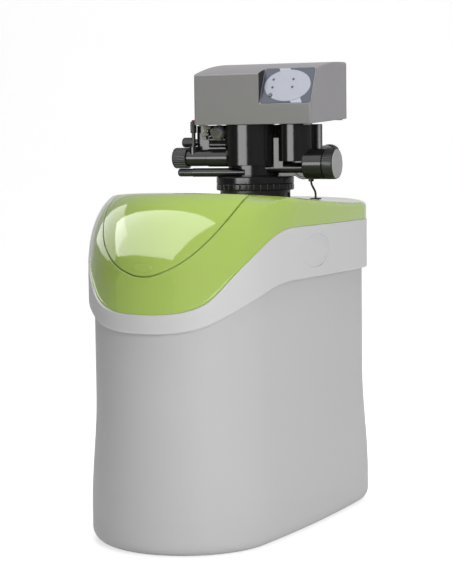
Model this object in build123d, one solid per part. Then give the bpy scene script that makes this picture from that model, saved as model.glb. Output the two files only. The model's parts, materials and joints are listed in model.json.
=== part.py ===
from build123d import *
import os
from math import atan2, cos, hypot, pi, radians, sin, sqrt, tan

# Driving dimensions of the cabinet
cabinet_width = 273
cabinet_length = 450
front_radius = 118
rear_corner_radius = 67
tub_wall = 3.5
foot_fillet = 18
flare_start = 42
flare_end = 180
flare_shares = (0, 0.25, 0.5, 0.75, 1)
rim_overhang = 7
rim_wall = 4
hood_wall = 3
hood_setback = 0.5
seam_gap = 0.3
cut_overrun = 20

# The wave that runs round the cabinet, seen from the side
hood_seam_rear = 380
hood_seam_front = 284
hood_seam_corner = 88
hood_seam_slope = 52.5
hood_seam_crest_radius = 160
hood_seam_trough_radius = 51
rim_edge_rear = 315.5
rim_edge_front = 261
rim_edge_corner = 93.5
rim_edge_slope = 33.3
rim_edge_crest_radius = 244
rim_edge_trough_radius = 79
tub_lip_rise = 14
rim_lower_rounding = 3
rim_upper_rounding = 0.8
rim_lip_depth = 6
rim_lip_wall = 2
rim_ledge_thickness = 2.5

# The hood's dome and crown
dome_reach = 401
dome_half_width = 193
dome_start = 322
dome_rise = 102
dome_shoulder = 84
dome_stand_off = 1
crown_front = 423
crown_peak = 422.5
crown_middle = 412.5
crown_rear = 409.5
crown_fall = 5
crown_peak_place = 125
crown_middle_place = 275
hood_edge_radius = 7
hood_lip_depth = 5
hood_lip_wall = 2

# Filling lid in the hood
lid_tilt = 45
lid_foot_height = 326
lid_foot_setback = 6
lid_half_width = 86
lid_curve_length = 140
lid_length = 188
lid_corner_radius = 14
lid_gap = 1.6
lid_prism_height = 45
lid_prism_depth = 80
lid_thickness = 2.6
ledge_outside = 3
ledge_inside = 6
ledge_thickness = 2
ledge_reach = 118
hinge_place = 158
hinge_height = 409.5
hinge_pin_radius = 2.5
hinge_running_gap = 0.08
hinge_ear_width = 6
hinge_ear_radius = 6
hinge_side_gap = 1
hinge_lug_gap = 2
badge_half_width = 12.5
badge_half_height = 5
badge_height = 0.9
badge_level = 340
badge_tilt = 12

# Shallow oval in each side of the rim
oval_half_length = 43
oval_half_height = 21
oval_place = 224
oval_height = 349
oval_depth = 2

# Pressure vessel and what it holds
vessel_place = 339
vessel_radius = 89
vessel_wall = 4
vessel_shoulder_start = 340
vessel_dome_rise = 40
vessel_neck_radius = 40
vessel_neck_bore = 32
vessel_neck_top = 420
vessel_base_start = 60
foot_ring_rise = 14
foot_ring_wall = 4
foot_ring_bore = 55
riser_radius = 13.5
riser_wall = 2
riser_foot_gap = 8
riser_top = 424
basket_bottom = 27
basket_radius = 24
basket_height = 46
basket_slot_count = 12
basket_slot_width = 2.2
basket_slot_length = 30
resin_top = 270

# Brine well, float and overflow
well_place_x = 72
well_place = 217
well_radius = 38
well_wall = 2
well_height = 330
well_slot_count = 8
well_slot_width = 4
well_slot_height = 40
well_cap_thickness = 3
well_cap_skirt = 14
float_rod_radius = 2.5
float_radius = 19
float_height = 44
float_level = 190
float_gap = 0.4
seat_radius = 14
seat_height = 26
brine_riser_radius = 4.8
brine_riser_offset = 27
brine_riser_wall = 1
brine_riser_seat = 8
seat_arm_width = 9
seat_arm_top = 22
brine_elbow_height = 300
elbow_socket_radius = 7
elbow_socket_depth = 12
elbow_spigot_radius = 6
elbow_reach = 44
elbow_bore = 3.5
elbow_nut_radius = 11
elbow_nut_length = 7
overflow_x = 52
overflow_height = 236
overflow_bore = 9
overflow_flange_radius = 17
overflow_flange_thickness = 3
overflow_body_radius = 11
overflow_reach = 32
overflow_spout_radius = 8
overflow_spout_length = 24
overflow_knee_drop = 3
overflow_nut_radius = 16
overflow_nut_thickness = 7

# Valve on the vessel's neck
collar_radius = 46.5
collar_bottom = 404
collar_window_count = 10
collar_window_width = 17
collar_window_depth = 2.5
collar_window_bottom = 407.5
collar_window_height = 9
neck_hole_gap = 3
nut_radius = 51.5
nut_height = 8.7
nut_grip_count = 36
nut_grip_depth = 1.1
flange_radius = 51.5
flange_height = 9
waist_radius = 35.5
waist_height = 15
waist_groove = 1.2
valve_plug_radius = 31.5
valve_plug_length = 24
main_cylinder_x = 2
main_cylinder_y = 320
main_cylinder_radius = 33.5
main_bore_radius = 27
side_cylinder_x = 66
side_cylinder_radius = 22.75
side_cylinder_bottom = 458
side_bore_radius = 17.5
cylinder_floor = 5
cylinder_top = 505.5
cap_thickness = 8
cap_radius_step = 1.4
cap_plug_length = 4
web_thickness = 6
web_reach = 97
web_setback = 9
web_bottom = 463
web_step = 470

# Ports at the valve's right
right_pipe_radius = 6.5
right_pipe_height = 449
pipe_rise_start = 37
outlet_body_radius = 19.8
outlet_height = 454
outlet_start = 80
outlet_body_length = 27
outlet_bore_radius = 11
outlet_bore_depth = 20
outlet_cap_radius = 19.4
outlet_cap_length = 15
outlet_disc_radius = 18.9
outlet_disc_thickness = 1.2
outlet_tenon = 9
outlet_rounding = 2.5
outlet_cap_chamfer = 1.2
cap_rounding = 2
port_gap = 0.25
rear_port_radius = 17.3
rear_port_height = 451
rear_port_x = 71
rear_port_front = 333
rear_port_length = 14
rear_ring_width = 3
rear_ring_depth = 1.5
inlet_x = 88
inlet_height = 466
inlet_radius = 11.8
inlet_front = 338
inlet_length = 40
inlet_cap_radius = 12.6
inlet_cap_length = 15
inlet_bore_radius = 8
inlet_bore_depth = 24

# Ports at the valve's left
left_pipe_radius = 11
left_pipe_height = 463
left_pipe_y = 310
left_pipe_start = 83
left_pipe_sleeve = 53
left_pipe_step = 0.8
drain_cap_radius = 13.8
drain_cap_length = 19.5
drain_rib_count = 24
drain_rib_depth = 1
drain_bore_radius = 7
drain_bore_depth = 20
manifold_left = 72
manifold_right = 26
manifold_front = 313
manifold_bottom = 468
manifold_depth = 16
manifold_rib_radius = 3.4
manifold_rib_high = 487
manifold_rib_low = 480
manifold_rib_start = 54
brine_pipe_radius = 5.8
brine_pipe_height = 443.8
brine_pipe_start = 76
brine_pipe_y = 308
brine_cap_radius = 4.9
brine_cap_length = 21
brine_bore_radius = 2.5
brine_bore_depth = 14
service_pipe_height = 483.5
service_pipe_radius = 4.5
service_pipe_start = 80
service_pipe_y = 322
service_cap_radius = 6.2
service_cap_length = 16.5
spindle_x = 74
spindle_y = 306
spindle_radius = 2.6
spindle_boss_radius = 6
spindle_boss_top = 478
spindle_head_bottom = 496
spindle_head_top = 511
spindle_head_radius = 4.2
spindle_slot = 1.2
spindle_seat_depth = 7
spindle_tip_height = 2.2
spindle_tip_radius = 2.6
injector_x = 38
injector_height = 496
injector_y = 313
injector_radius = 10
injector_neck_radius = 6.5
injector_cap_radius = 9.2
injector_cap_length = 9
injector_cap_wall = 1.5
injector_neck_length = 6
injector_body_front = 306

# Control head
cover_left = 64
cover_right = 101
cover_front = 285
cover_depth = 135
cover_bottom_front = 506
cover_bottom_rear = 513
cover_top_front = 572
cover_top_middle = 582.5
cover_top_middle_place = 50
cover_top_rear = 588
cover_wall = 2.5
cover_edge_radius = 4
cover_top_radius = 3
notch_left = 29
panel_foot = 531.5
panel_head = 578.5
panel_lean = 22
panel_margin_left = 1.5
panel_margin_right = 2
panel_plate_thickness = 0.6
panel_plate_width = 69
panel_plate_height = 49.5
oval_thickness = 0.3
panel_oval_width_share = 0.925
panel_oval_height_share = 0.86
led_column_shares = (0.2, 0.6)
led_row_shares = (0.665, 0.45)
button_column_share = 0.185
button_row_share = 0.24
led_radius = 1.7
led_height = 0.7
button_radius = 2.6
button_height = 1
button_gap = 0.25
button_stem_radius = 1.6
button_travel = 0.8
button_flange = 1
board_gap = 6
board_thickness = 1.6
board_width = 58
board_height = 38
switch_size = 6
switch_height = 2.5
switch_gap = 0.3
base_thickness = 3
rest_size = 5
rest_place = 14
notch_rounding = 1
board_post_shares = (0.14, 0.86)
board_post_radius = 2
clip_width = 8
clip_thickness = 3
clip_show = 1.7
clip_inset = 9
clip_place = 5.5
pilot_x = 22
pilot_y = 372
pilot_block_radius = 22
pilot_block_height = 17
pilot_port_count = 5
pilot_port_radius = 2.2
pilot_port_length = 6
pilot_port_step = 30
gear_module = 0.8
disc_teeth = 60
pinion_teeth = 15
tooth_tip_share = 0.8
tooth_root_share = 1.3
tooth_foot_share = 0.29
tooth_top_share = 0.12
gear_height = 5
gear_gap = 0.3
disc_hub_radius = 6
disc_hub_height = 3
pilot_post_radius = 3
shaft_radius = 1.5
motor_radius = 25
motor_shaft_offset = 18
motor_foot_thickness = 1.5
motor_foot_reach = 30
motor_foot_half = 8
screw_head_radius = 3.2
screw_head_height = 2.2
screw_radius = 1.6
screw_length = 9
screw_inset = 8

# Pistons inside the valve
piston_gap = 0.06
piston_height = 12
piston_rest = 0.3
piston_stem_radius = 5
piston_stem_top = 487
seal_groove_depth = 1.6
seal_radius = 1.4

# Thin tubes and the sensor lead
tube_radius = 2
fitting_radius = 3
fitting_reach = 9
fitting_length = 7
fitting_places = ((60, 494), (57, 503))
lead_radius = 1.4
lead_bend_radius = 9
lead_top_x = 79
lead_top_y = 340
lead_top = 438
lead_bend_top = 428
lead_foot_x = 87
lead_foot_y = 335
lead_bend_foot = 417
lead_boss_radius = 3.5
lead_boss_bottom = 431
lead_fit = 0.1
grommet_radius = 5
grommet_flange_radius = 7.5
grommet_flange = 1.5
grommet_height = 407.9
grommet_length = 8
plug_width = 12
plug_depth = 8
plug_height = 22
plug_top = 388
plug_clip_width = 3
plug_clip_bottom = 372
plug_grip = 6

# Lines that the parts share
front_y = -cabinet_length / 2
rear_y = cabinet_length / 2
half_width = cabinet_width / 2
nose_y = front_y + front_radius
corner_y = rear_y - rear_corner_radius
side_run = corner_y - nose_y
side_radius = (half_width**2 + side_run**2 - front_radius**2) / (2 * (half_width - front_radius))
side_centre = half_width - side_radius
vessel_y = front_y + vessel_place
main_y = front_y + main_cylinder_y
well_y = front_y + well_place
lead_x = lead_foot_x
lead_y = front_y + lead_foot_y
floor_top = tub_wall + seam_gap

# Places worked out from them
lid_plane = Plane(
    origin=(0, front_y + lid_foot_setback, lid_foot_height),
    x_dir=(1, 0, 0),
    z_dir=(0, -sin(radians(lid_tilt)), cos(radians(lid_tilt))),
)
hinge_y = front_y + hinge_place
flange_bottom = vessel_neck_top + nut_height + seam_gap
waist_bottom = flange_bottom + flange_height
waist_top = waist_bottom + waist_height
main_floor_height = waist_top + cylinder_floor
side_floor_height = side_cylinder_bottom + cylinder_floor
base_bottom = cylinder_top + cap_thickness + seam_gap
base_top = base_bottom + base_thickness
panel_rise = panel_head - panel_foot
panel_length = hypot(panel_rise, panel_lean)
panel_left = notch_left + panel_margin_left
panel_right = cover_right - panel_margin_right
cover_y = front_y + cover_front
panel_plane = Plane(
    origin=((panel_left + panel_right) / 2, cover_y + panel_lean / 2, (panel_foot + panel_head) / 2),
    x_dir=(1, 0, 0),
    z_dir=(0, -panel_rise, panel_lean),
)
pilot_place = (-pilot_x, front_y + pilot_y)
gear_distance = gear_module * (disc_teeth + pinion_teeth) / 2
pinion_place = (gear_distance - pilot_x, front_y + pilot_y)
pilot_bottom = base_top + port_gap
gear_bottom = pilot_bottom + pilot_block_height + gear_gap
wall_outside = rear_y - rim_overhang
wall_inside = wall_outside - tub_wall


def save(shape, name):
    export_step(shape, f"parts/{name}.step")


def rod_z(radius, bottom, top, x, y):
    """Upright round bar."""
    return Pos(x, y, bottom) * extrude(Circle(radius), top - bottom)


def rod_x(radius, start, end, y, z):
    """Round bar along X from start to end."""
    plane = Plane(origin=(start, y, z), x_dir=(0, 1, 0), z_dir=(1, 0, 0))
    return extrude(plane * Circle(radius), end - start)


def rod_y(radius, start, end, x, z):
    """Round bar along Y from start to end."""
    plane = Plane(origin=(x, start, z), x_dir=(1, 0, 0), z_dir=(0, 1, 0))
    return extrude(plane * Circle(radius), end - start)


def block(x_start, x_end, y_start, y_end, z_start, z_end):
    """Square block between two corners."""
    middle = Pos((x_start + x_end) / 2, (y_start + y_end) / 2, (z_start + z_end) / 2)
    return middle * Box(abs(x_end - x_start), abs(y_end - y_start), abs(z_end - z_start))


def plan_face(inset):
    """Plan outline of the cabinet, moved inwards: round nose, bowed sides, round rear corners."""
    nose = front_radius - inset
    corner = rear_corner_radius - inset
    side = side_radius - inset
    half = half_width - inset
    turn = atan2(-side_run, -side_centre)
    meet_x = nose * cos(turn)
    meet_y = nose_y + nose * sin(turn)
    bow_x = side_centre + side * cos(turn / 2)
    bow_y = corner_y + side * sin(turn / 2)
    corner_x = half - corner
    rear = rear_y - inset
    round_x = corner_x + corner * cos(pi / 4)
    round_y = corner_y + corner * sin(pi / 4)
    edges = [
        ThreePointArc((-meet_x, meet_y), (0, nose_y - nose), (meet_x, meet_y)),
        ThreePointArc((meet_x, meet_y), (bow_x, bow_y), (half, corner_y)),
        ThreePointArc((half, corner_y), (round_x, round_y), (corner_x, rear)),
        Line((corner_x, rear), (-corner_x, rear)),
        ThreePointArc((-corner_x, rear), (-round_x, round_y), (-half, corner_y)),
        ThreePointArc((-half, corner_y), (-bow_x, bow_y), (-meet_x, meet_y)),
    ]
    return make_face(edges)


def plan_prism(inset, bottom, top):
    """Upright prism of the plan outline."""
    return Pos(0, 0, bottom) * extrude(plan_face(inset), top - bottom)


def below_wave(rear, front, corner, slope, crest_radius, trough_radius, rise=0):
    """Everything below a wave that runs level, falls towards the front and runs level again."""
    crest_y = front_y + corner
    foot_y = crest_y - (rear - front) / tan(radians(slope))
    wave = FilletPolyline(
        (rear_y + cut_overrun, rear + rise),
        (crest_y, rear + rise),
        (foot_y, front + rise),
        (front_y - cut_overrun, front + rise),
        radius=(crest_radius, trough_radius),
    )
    floor = Polyline(
        (front_y - cut_overrun, front + rise),
        (front_y - cut_overrun, -cut_overrun),
        (rear_y + cut_overrun, -cut_overrun),
        (rear_y + cut_overrun, rear + rise),
    )
    profile = Plane.YZ * make_face([wave, floor])
    return extrude(profile, half_width + cut_overrun, both=True)


def below_seam(rise=0):
    """Below the joint between the rim and the hood."""
    return below_wave(
        hood_seam_rear, hood_seam_front, hood_seam_corner, hood_seam_slope,
        hood_seam_crest_radius, hood_seam_trough_radius, rise,
    )


def below_rim_edge(rise=0):
    """Below the rim's lower edge."""
    return below_wave(
        rim_edge_rear, rim_edge_front, rim_edge_corner, rim_edge_slope,
        rim_edge_crest_radius, rim_edge_trough_radius, rise,
    )


def crown_section(y, centre, inset):
    """Upright section under the hood's gently arched top."""
    reach = half_width + cut_overrun
    edge = centre - crown_fall * (reach / half_width) ** 2
    arch = ThreePointArc((-reach, edge - inset), (0, centre - inset), (reach, edge - inset))
    sides = Polyline((reach, edge - inset), (reach, 0), (-reach, 0), (-reach, edge - inset))
    plane = Plane(origin=(0, y, 0), x_dir=(1, 0, 0), z_dir=(0, -1, 0))
    return plane * make_face([arch, sides])


def under_crown(inset):
    """Everything under the hood's top, which is highest behind the filling lid."""
    sections = [
        crown_section(front_y - cut_overrun, crown_front, inset),
        crown_section(front_y + crown_peak_place, crown_peak, inset),
        crown_section(front_y + crown_middle_place, crown_middle, inset),
        crown_section(rear_y + cut_overrun, crown_rear, inset),
    ]
    return loft(sections)


def under_dome(inset):
    """The big rounded front of the hood: a turned dome squeezed to an oval plan."""
    reach = dome_reach - inset
    start = dome_start - inset
    arc = EllipticalCenterArc((reach - dome_shoulder, start), dome_shoulder, dome_rise)
    top = start + dome_rise
    sides = Polyline((reach - dome_shoulder, top), (0, top), (0, 0), (reach, 0), (reach, start))
    profile = Plane.XZ * make_face([arc, sides])
    squeeze = (dome_half_width - inset) / reach
    dome = scale(revolve(profile, Axis.Z), by=(squeeze, 1, 1))
    return Pos(0, front_y - dome_stand_off + dome_reach, 0) * dome


def hood_form(inset):
    """Outer shape of the hood, moved inwards."""
    bottom = hood_seam_front - cut_overrun
    body = plan_prism(hood_setback + inset, bottom, crown_front + cut_overrun) & under_crown(inset)
    top_edges = body.edges().filter_by(lambda edge: edge.center().Z > crown_rear - crown_fall * 2 - inset)
    body = fillet(top_edges, hood_edge_radius - inset)
    return body & under_dome(inset)


def tub_form(inset):
    """Outside of the tub, moved inwards: upright above, swelling to the full plan at its foot."""
    foot = plan_prism(inset, inset, flare_start)
    foot = fillet(foot.edges().group_by(Axis.Z)[0], foot_fillet - inset)
    run = flare_end - flare_start
    sections = [
        Pos(0, 0, flare_start + share * run) * plan_face(inset + rim_overhang * share**2 * (3 - 2 * share))
        for share in flare_shares
    ]
    return foot + loft(sections) + plan_prism(inset + rim_overhang, flare_end, rim_edge_rear + cut_overrun)


def make_cabinet_tub():
    """Moulded tub with a swollen foot and a hole for the overflow."""
    tub = (tub_form(0) - tub_form(tub_wall)) & below_rim_edge(tub_lip_rise)
    hole = rod_y(overflow_body_radius + seam_gap, corner_y, rear_y, overflow_x, overflow_height)
    return tub - hole


def side_point(y, inset):
    """Half width of the plan at one place along the bowed side."""
    return side_centre + sqrt((side_radius - inset) ** 2 - (y - corner_y) ** 2)


def oval_tool():
    """Cutter for the shallow oval in the side, flush in front and deepest at the rear."""
    front = front_y + oval_place - oval_half_length
    rear = front_y + oval_place + oval_half_length
    start = Vector(side_point(front, 0), front, oval_height)
    end = Vector(side_point(rear, oval_depth), rear, oval_height)
    along = (end - start).normalized()
    plane = Plane(origin=(start + end) / 2, x_dir=along, z_dir=(along.Y, -along.X, 0))
    return extrude(plane * Ellipse(oval_half_length, oval_half_height), cut_overrun)


def outer_edges(body, level):
    """Outside edges of a wavy face, without the flat end, the uprights and the lines across."""

    def kept(edge):
        if abs(edge.center().Z - level) < seam_gap:
            return False
        if edge.geom_type != GeomType.LINE:
            return True
        return edge.center().Y > rear_y - seam_gap and abs(edge.tangent_at(0).X) > 0.5

    return [edge for edge in body.edges() if kept(edge)]


def make_cover_rim():
    """Frame between tub and hood, with wavy edges, a seat on the tub and an oval in each side."""
    top = hood_seam_rear + cut_overrun
    above = plan_prism(0, 0, top) - below_rim_edge()
    above = fillet(outer_edges(above, top), rim_lower_rounding)
    under = plan_prism(0, 0, top) & below_seam()
    under = fillet(outer_edges(under, 0), rim_upper_rounding)
    frame = (above & under) - plan_prism(rim_wall, 0, top)
    seat = tub_lip_rise + seam_gap
    tub_inside = rim_overhang + tub_wall
    ledge = plan_prism(rim_wall - rim_lip_wall, 0, top) - plan_prism(tub_inside + rim_lip_wall, 0, top)
    ledge = (ledge & below_rim_edge(seat + rim_ledge_thickness)) - below_rim_edge(seat)
    lip = plan_prism(tub_inside + seam_gap, 0, top) - plan_prism(tub_inside + rim_lip_wall, 0, top)
    lip = (lip & below_rim_edge(seat + rim_ledge_thickness)) - below_rim_edge(seat - rim_lip_depth)
    oval = oval_tool()
    return frame + ledge + lip - oval - mirror(oval, Plane.YZ)


def lid_prism(grow):
    """Outline of the filling lid, run through the hood: a half oval below, straight sides above."""
    half = lid_half_width + grow
    end = lid_length + grow
    corner = lid_corner_radius + grow
    diagonal = corner * cos(pi / 4)
    nose = EllipticalCenterArc((0, lid_curve_length), half, lid_curve_length + grow, 180, arc_size=180)
    edges = [
        nose,
        Line((half, lid_curve_length), (half, end - corner)),
        ThreePointArc(
            (half, end - corner), (half - corner + diagonal, end - corner + diagonal), (half - corner, end)
        ),
        Line((half - corner, end), (corner - half, end)),
        ThreePointArc(
            (corner - half, end), (corner - half - diagonal, end - corner + diagonal), (-half, end - corner)
        ),
        Line((-half, end - corner), (-half, lid_curve_length)),
    ]
    face = lid_plane * make_face(edges)
    return extrude(face, lid_prism_height) + extrude(face, -lid_prism_depth)


def make_hood():
    """Moulded hood with its lip, the neck hole, the lid opening with its ledge, and the hinge lugs."""
    inner = hood_form(hood_wall)
    half_wall = hood_wall / 2
    inside = hood_form(half_wall)
    shell = (hood_form(0) - inner) - below_seam(seam_gap)
    top = hood_seam_rear + cut_overrun
    lip_outside = rim_wall + seam_gap
    lip_inside = lip_outside + hood_lip_wall
    band = plan_prism(half_wall, hood_seam_front - cut_overrun, top) - plan_prism(lip_inside, 0, top)
    band = (band & below_seam(seam_gap + hood_wall)) - below_seam(seam_gap)
    lip = plan_prism(lip_outside, hood_seam_front - cut_overrun, top) - plan_prism(lip_inside, 0, top)
    lip = (lip & below_seam(seam_gap + hood_wall)) - below_seam(-hood_lip_depth)
    neck = rod_z(collar_radius + neck_hole_gap, vessel_shoulder_start, crown_front + cut_overrun, 0, vessel_y)
    lead = rod_z(grommet_radius + seam_gap, vessel_shoulder_start, crown_front + cut_overrun, lead_x, lead_y)
    ledge = (inside - hood_form(hood_wall + ledge_thickness)) & (
        lid_prism(ledge_outside) - lid_prism(-ledge_inside)
    )
    reach = front_y + ledge_reach
    ledge = ledge & block(-half_width, half_width, front_y - cut_overrun, reach, 0, crown_front)
    lug_start = lid_half_width + hinge_lug_gap
    lug = block(
        lug_start, lug_start + hinge_ear_width,
        hinge_y - hinge_ear_radius, hinge_y + hinge_ear_radius,
        hinge_height, crown_front,
    )
    lug += rod_x(hinge_ear_radius, lug_start, lug_start + hinge_ear_width, hinge_y, hinge_height)
    lug = (lug & inside) - rod_x(hinge_pin_radius, 0, half_width, hinge_y, hinge_height)
    clip_start = lead_x + plug_width / 2 + seam_gap
    clip = block(
        clip_start, clip_start + plug_clip_width,
        lead_y - plug_grip, lead_y + plug_grip, plug_clip_bottom, crown_front,
    )
    hood = shell + band + lip - lid_prism(lid_gap) + (ledge - (lid_prism(lid_gap) - inner))
    return hood + lug + mirror(lug, Plane.YZ) + (clip & inside) - neck - lead


def make_salt_lid():
    """Filling lid, flush with the hood, with the two ears it turns on."""
    outside = hood_form(0) & lid_prism(0)
    lid = outside - hood_form(lid_thickness)
    ear_end = lid_half_width - hinge_side_gap
    ear_start = ear_end - hinge_ear_width
    ear = block(
        ear_start, ear_end,
        hinge_y - hinge_ear_radius, hinge_y + hinge_ear_radius,
        hinge_height, crown_front,
    )
    ear += rod_x(hinge_ear_radius, ear_start, ear_end, hinge_y, hinge_height)
    ear = ear & hood_form(lid_thickness / 2)
    ear -= rod_x(hinge_pin_radius + hinge_running_gap, 0, half_width, hinge_y, hinge_height)
    return lid + ear + mirror(ear, Plane.YZ)


def make_lid_badge():
    """Small raised oval, left bare."""
    plane = Plane(
        origin=(0, front_y, badge_level),
        x_dir=(1, 0, 0),
        z_dir=(0, -cos(radians(badge_tilt)), sin(radians(badge_tilt))),
    )
    oval = extrude(plane * Ellipse(badge_half_width, badge_half_height), cut_overrun, both=True)
    return (oval & hood_form(-badge_height)) - hood_form(0)


def make_lid_hinge_pins():
    """Two pins that stand in the hood's lugs."""
    start = lid_half_width - hinge_side_gap - hinge_ear_width - seam_gap
    end = lid_half_width + hinge_lug_gap + hinge_ear_width
    pin = rod_x(hinge_pin_radius, start, end, hinge_y, hinge_height)
    return pin + mirror(pin, Plane.YZ)


def half_outline(sketch):
    """Right-hand half of an upright sketch, ready to be turned."""
    size = 2 * crown_front
    return sketch & (Pos(size / 2, crown_front) * Rectangle(size, 2 * size))


def vessel_form(inset):
    """Pressure vessel's outside, moved inwards: two domes and a straight wall."""
    radius = vessel_radius - inset
    rise = vessel_dome_rise - inset
    middle = (vessel_base_start + vessel_shoulder_start) / 2
    sketch = Pos(0, middle) * Rectangle(2 * radius, vessel_shoulder_start - vessel_base_start)
    sketch += Pos(0, vessel_base_start) * Ellipse(radius, rise)
    sketch += Pos(0, vessel_shoulder_start) * Ellipse(radius, rise)
    return Pos(0, vessel_y, 0) * revolve(Plane.XZ * half_outline(sketch), Axis.Z)


def make_resin_vessel():
    """Wound pressure vessel with its threaded neck."""
    neck = rod_z(vessel_neck_radius, vessel_shoulder_start, vessel_neck_top, 0, vessel_y)
    bore = rod_z(vessel_neck_bore, vessel_shoulder_start, vessel_neck_top, 0, vessel_y)
    return vessel_form(0) + neck - vessel_form(vessel_wall) - bore


def make_vessel_foot():
    """Boot that the vessel's lower dome stands in."""
    ring = rod_z(vessel_radius + foot_ring_wall, floor_top, vessel_base_start + foot_ring_rise, 0, vessel_y)
    hollow = rod_z(foot_ring_bore, 0, vessel_base_start, 0, vessel_y)
    return ring - vessel_form(-seam_gap) - hollow


def make_resin_bed():
    """Bed of resin round the riser tube."""
    bed = vessel_form(vessel_wall + seam_gap)
    bed &= rod_z(vessel_radius, 0, resin_top, 0, vessel_y)
    tube = rod_z(riser_radius + seam_gap, 0, resin_top, 0, vessel_y)
    basket_top = basket_bottom + basket_height + seam_gap
    return bed - tube - rod_z(basket_radius + seam_gap, 0, basket_top, 0, vessel_y)


def make_distributor_tube():
    """Riser tube from the basket up into the valve."""
    tube = rod_z(riser_radius, basket_bottom + riser_foot_gap, riser_top, 0, vessel_y)
    return tube - rod_z(riser_radius - riser_wall, 0, riser_top, 0, vessel_y)


def make_bottom_basket():
    """Slotted basket at the riser's foot."""
    top = basket_bottom + basket_height
    basket = rod_z(basket_radius, basket_bottom, top, 0, vessel_y)
    basket -= rod_z(basket_radius - riser_wall, basket_bottom + riser_wall, top - riser_wall, 0, vessel_y)
    basket += rod_z(riser_radius + riser_wall, basket_bottom, top, 0, vessel_y)
    basket -= rod_z(riser_radius, basket_bottom + riser_foot_gap, top, 0, vessel_y)
    basket -= rod_z(riser_radius - riser_wall, basket_bottom + riser_wall, top, 0, vessel_y)
    middle = basket_bottom + basket_height / 2
    for index in range(basket_slot_count):
        slot = Pos(basket_radius, 0, middle) * Box(basket_radius / 2, basket_slot_width, basket_slot_length)
        basket -= Pos(0, vessel_y, 0) * Rot(0, 0, 360 * index / basket_slot_count) * slot
    return basket


def make_neck_collar():
    """Ring round the vessel's neck with a row of windows."""
    ring = rod_z(collar_radius, collar_bottom, vessel_neck_top, 0, vessel_y)
    ring -= rod_z(vessel_neck_radius + seam_gap, 0, vessel_neck_top, 0, vessel_y)
    low = collar_window_bottom
    for index in range(collar_window_count):
        window = block(
            collar_radius - collar_window_depth, collar_radius + collar_window_depth,
            -collar_window_width / 2, collar_window_width / 2, low, low + collar_window_height,
        )
        ring -= Pos(0, vessel_y, 0) * Rot(0, 0, 360 * index / collar_window_count) * window
    return ring


def make_tank_nut():
    """Black nut under the valve with grip notches in its edge."""
    top = vessel_neck_top + nut_height
    nut = rod_z(nut_radius, vessel_neck_top, top, 0, vessel_y)
    nut = chamfer(nut.edges(), nut_grip_depth)
    nut -= rod_z(valve_plug_radius + seam_gap, 0, top, 0, vessel_y)
    for index in range(nut_grip_count):
        notch = rod_z(nut_grip_depth, vessel_neck_top, top, nut_radius + nut_grip_depth / 4, 0)
        nut -= Pos(0, vessel_y, 0) * Rot(0, 0, 360 * index / nut_grip_count) * notch
    return nut


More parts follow.
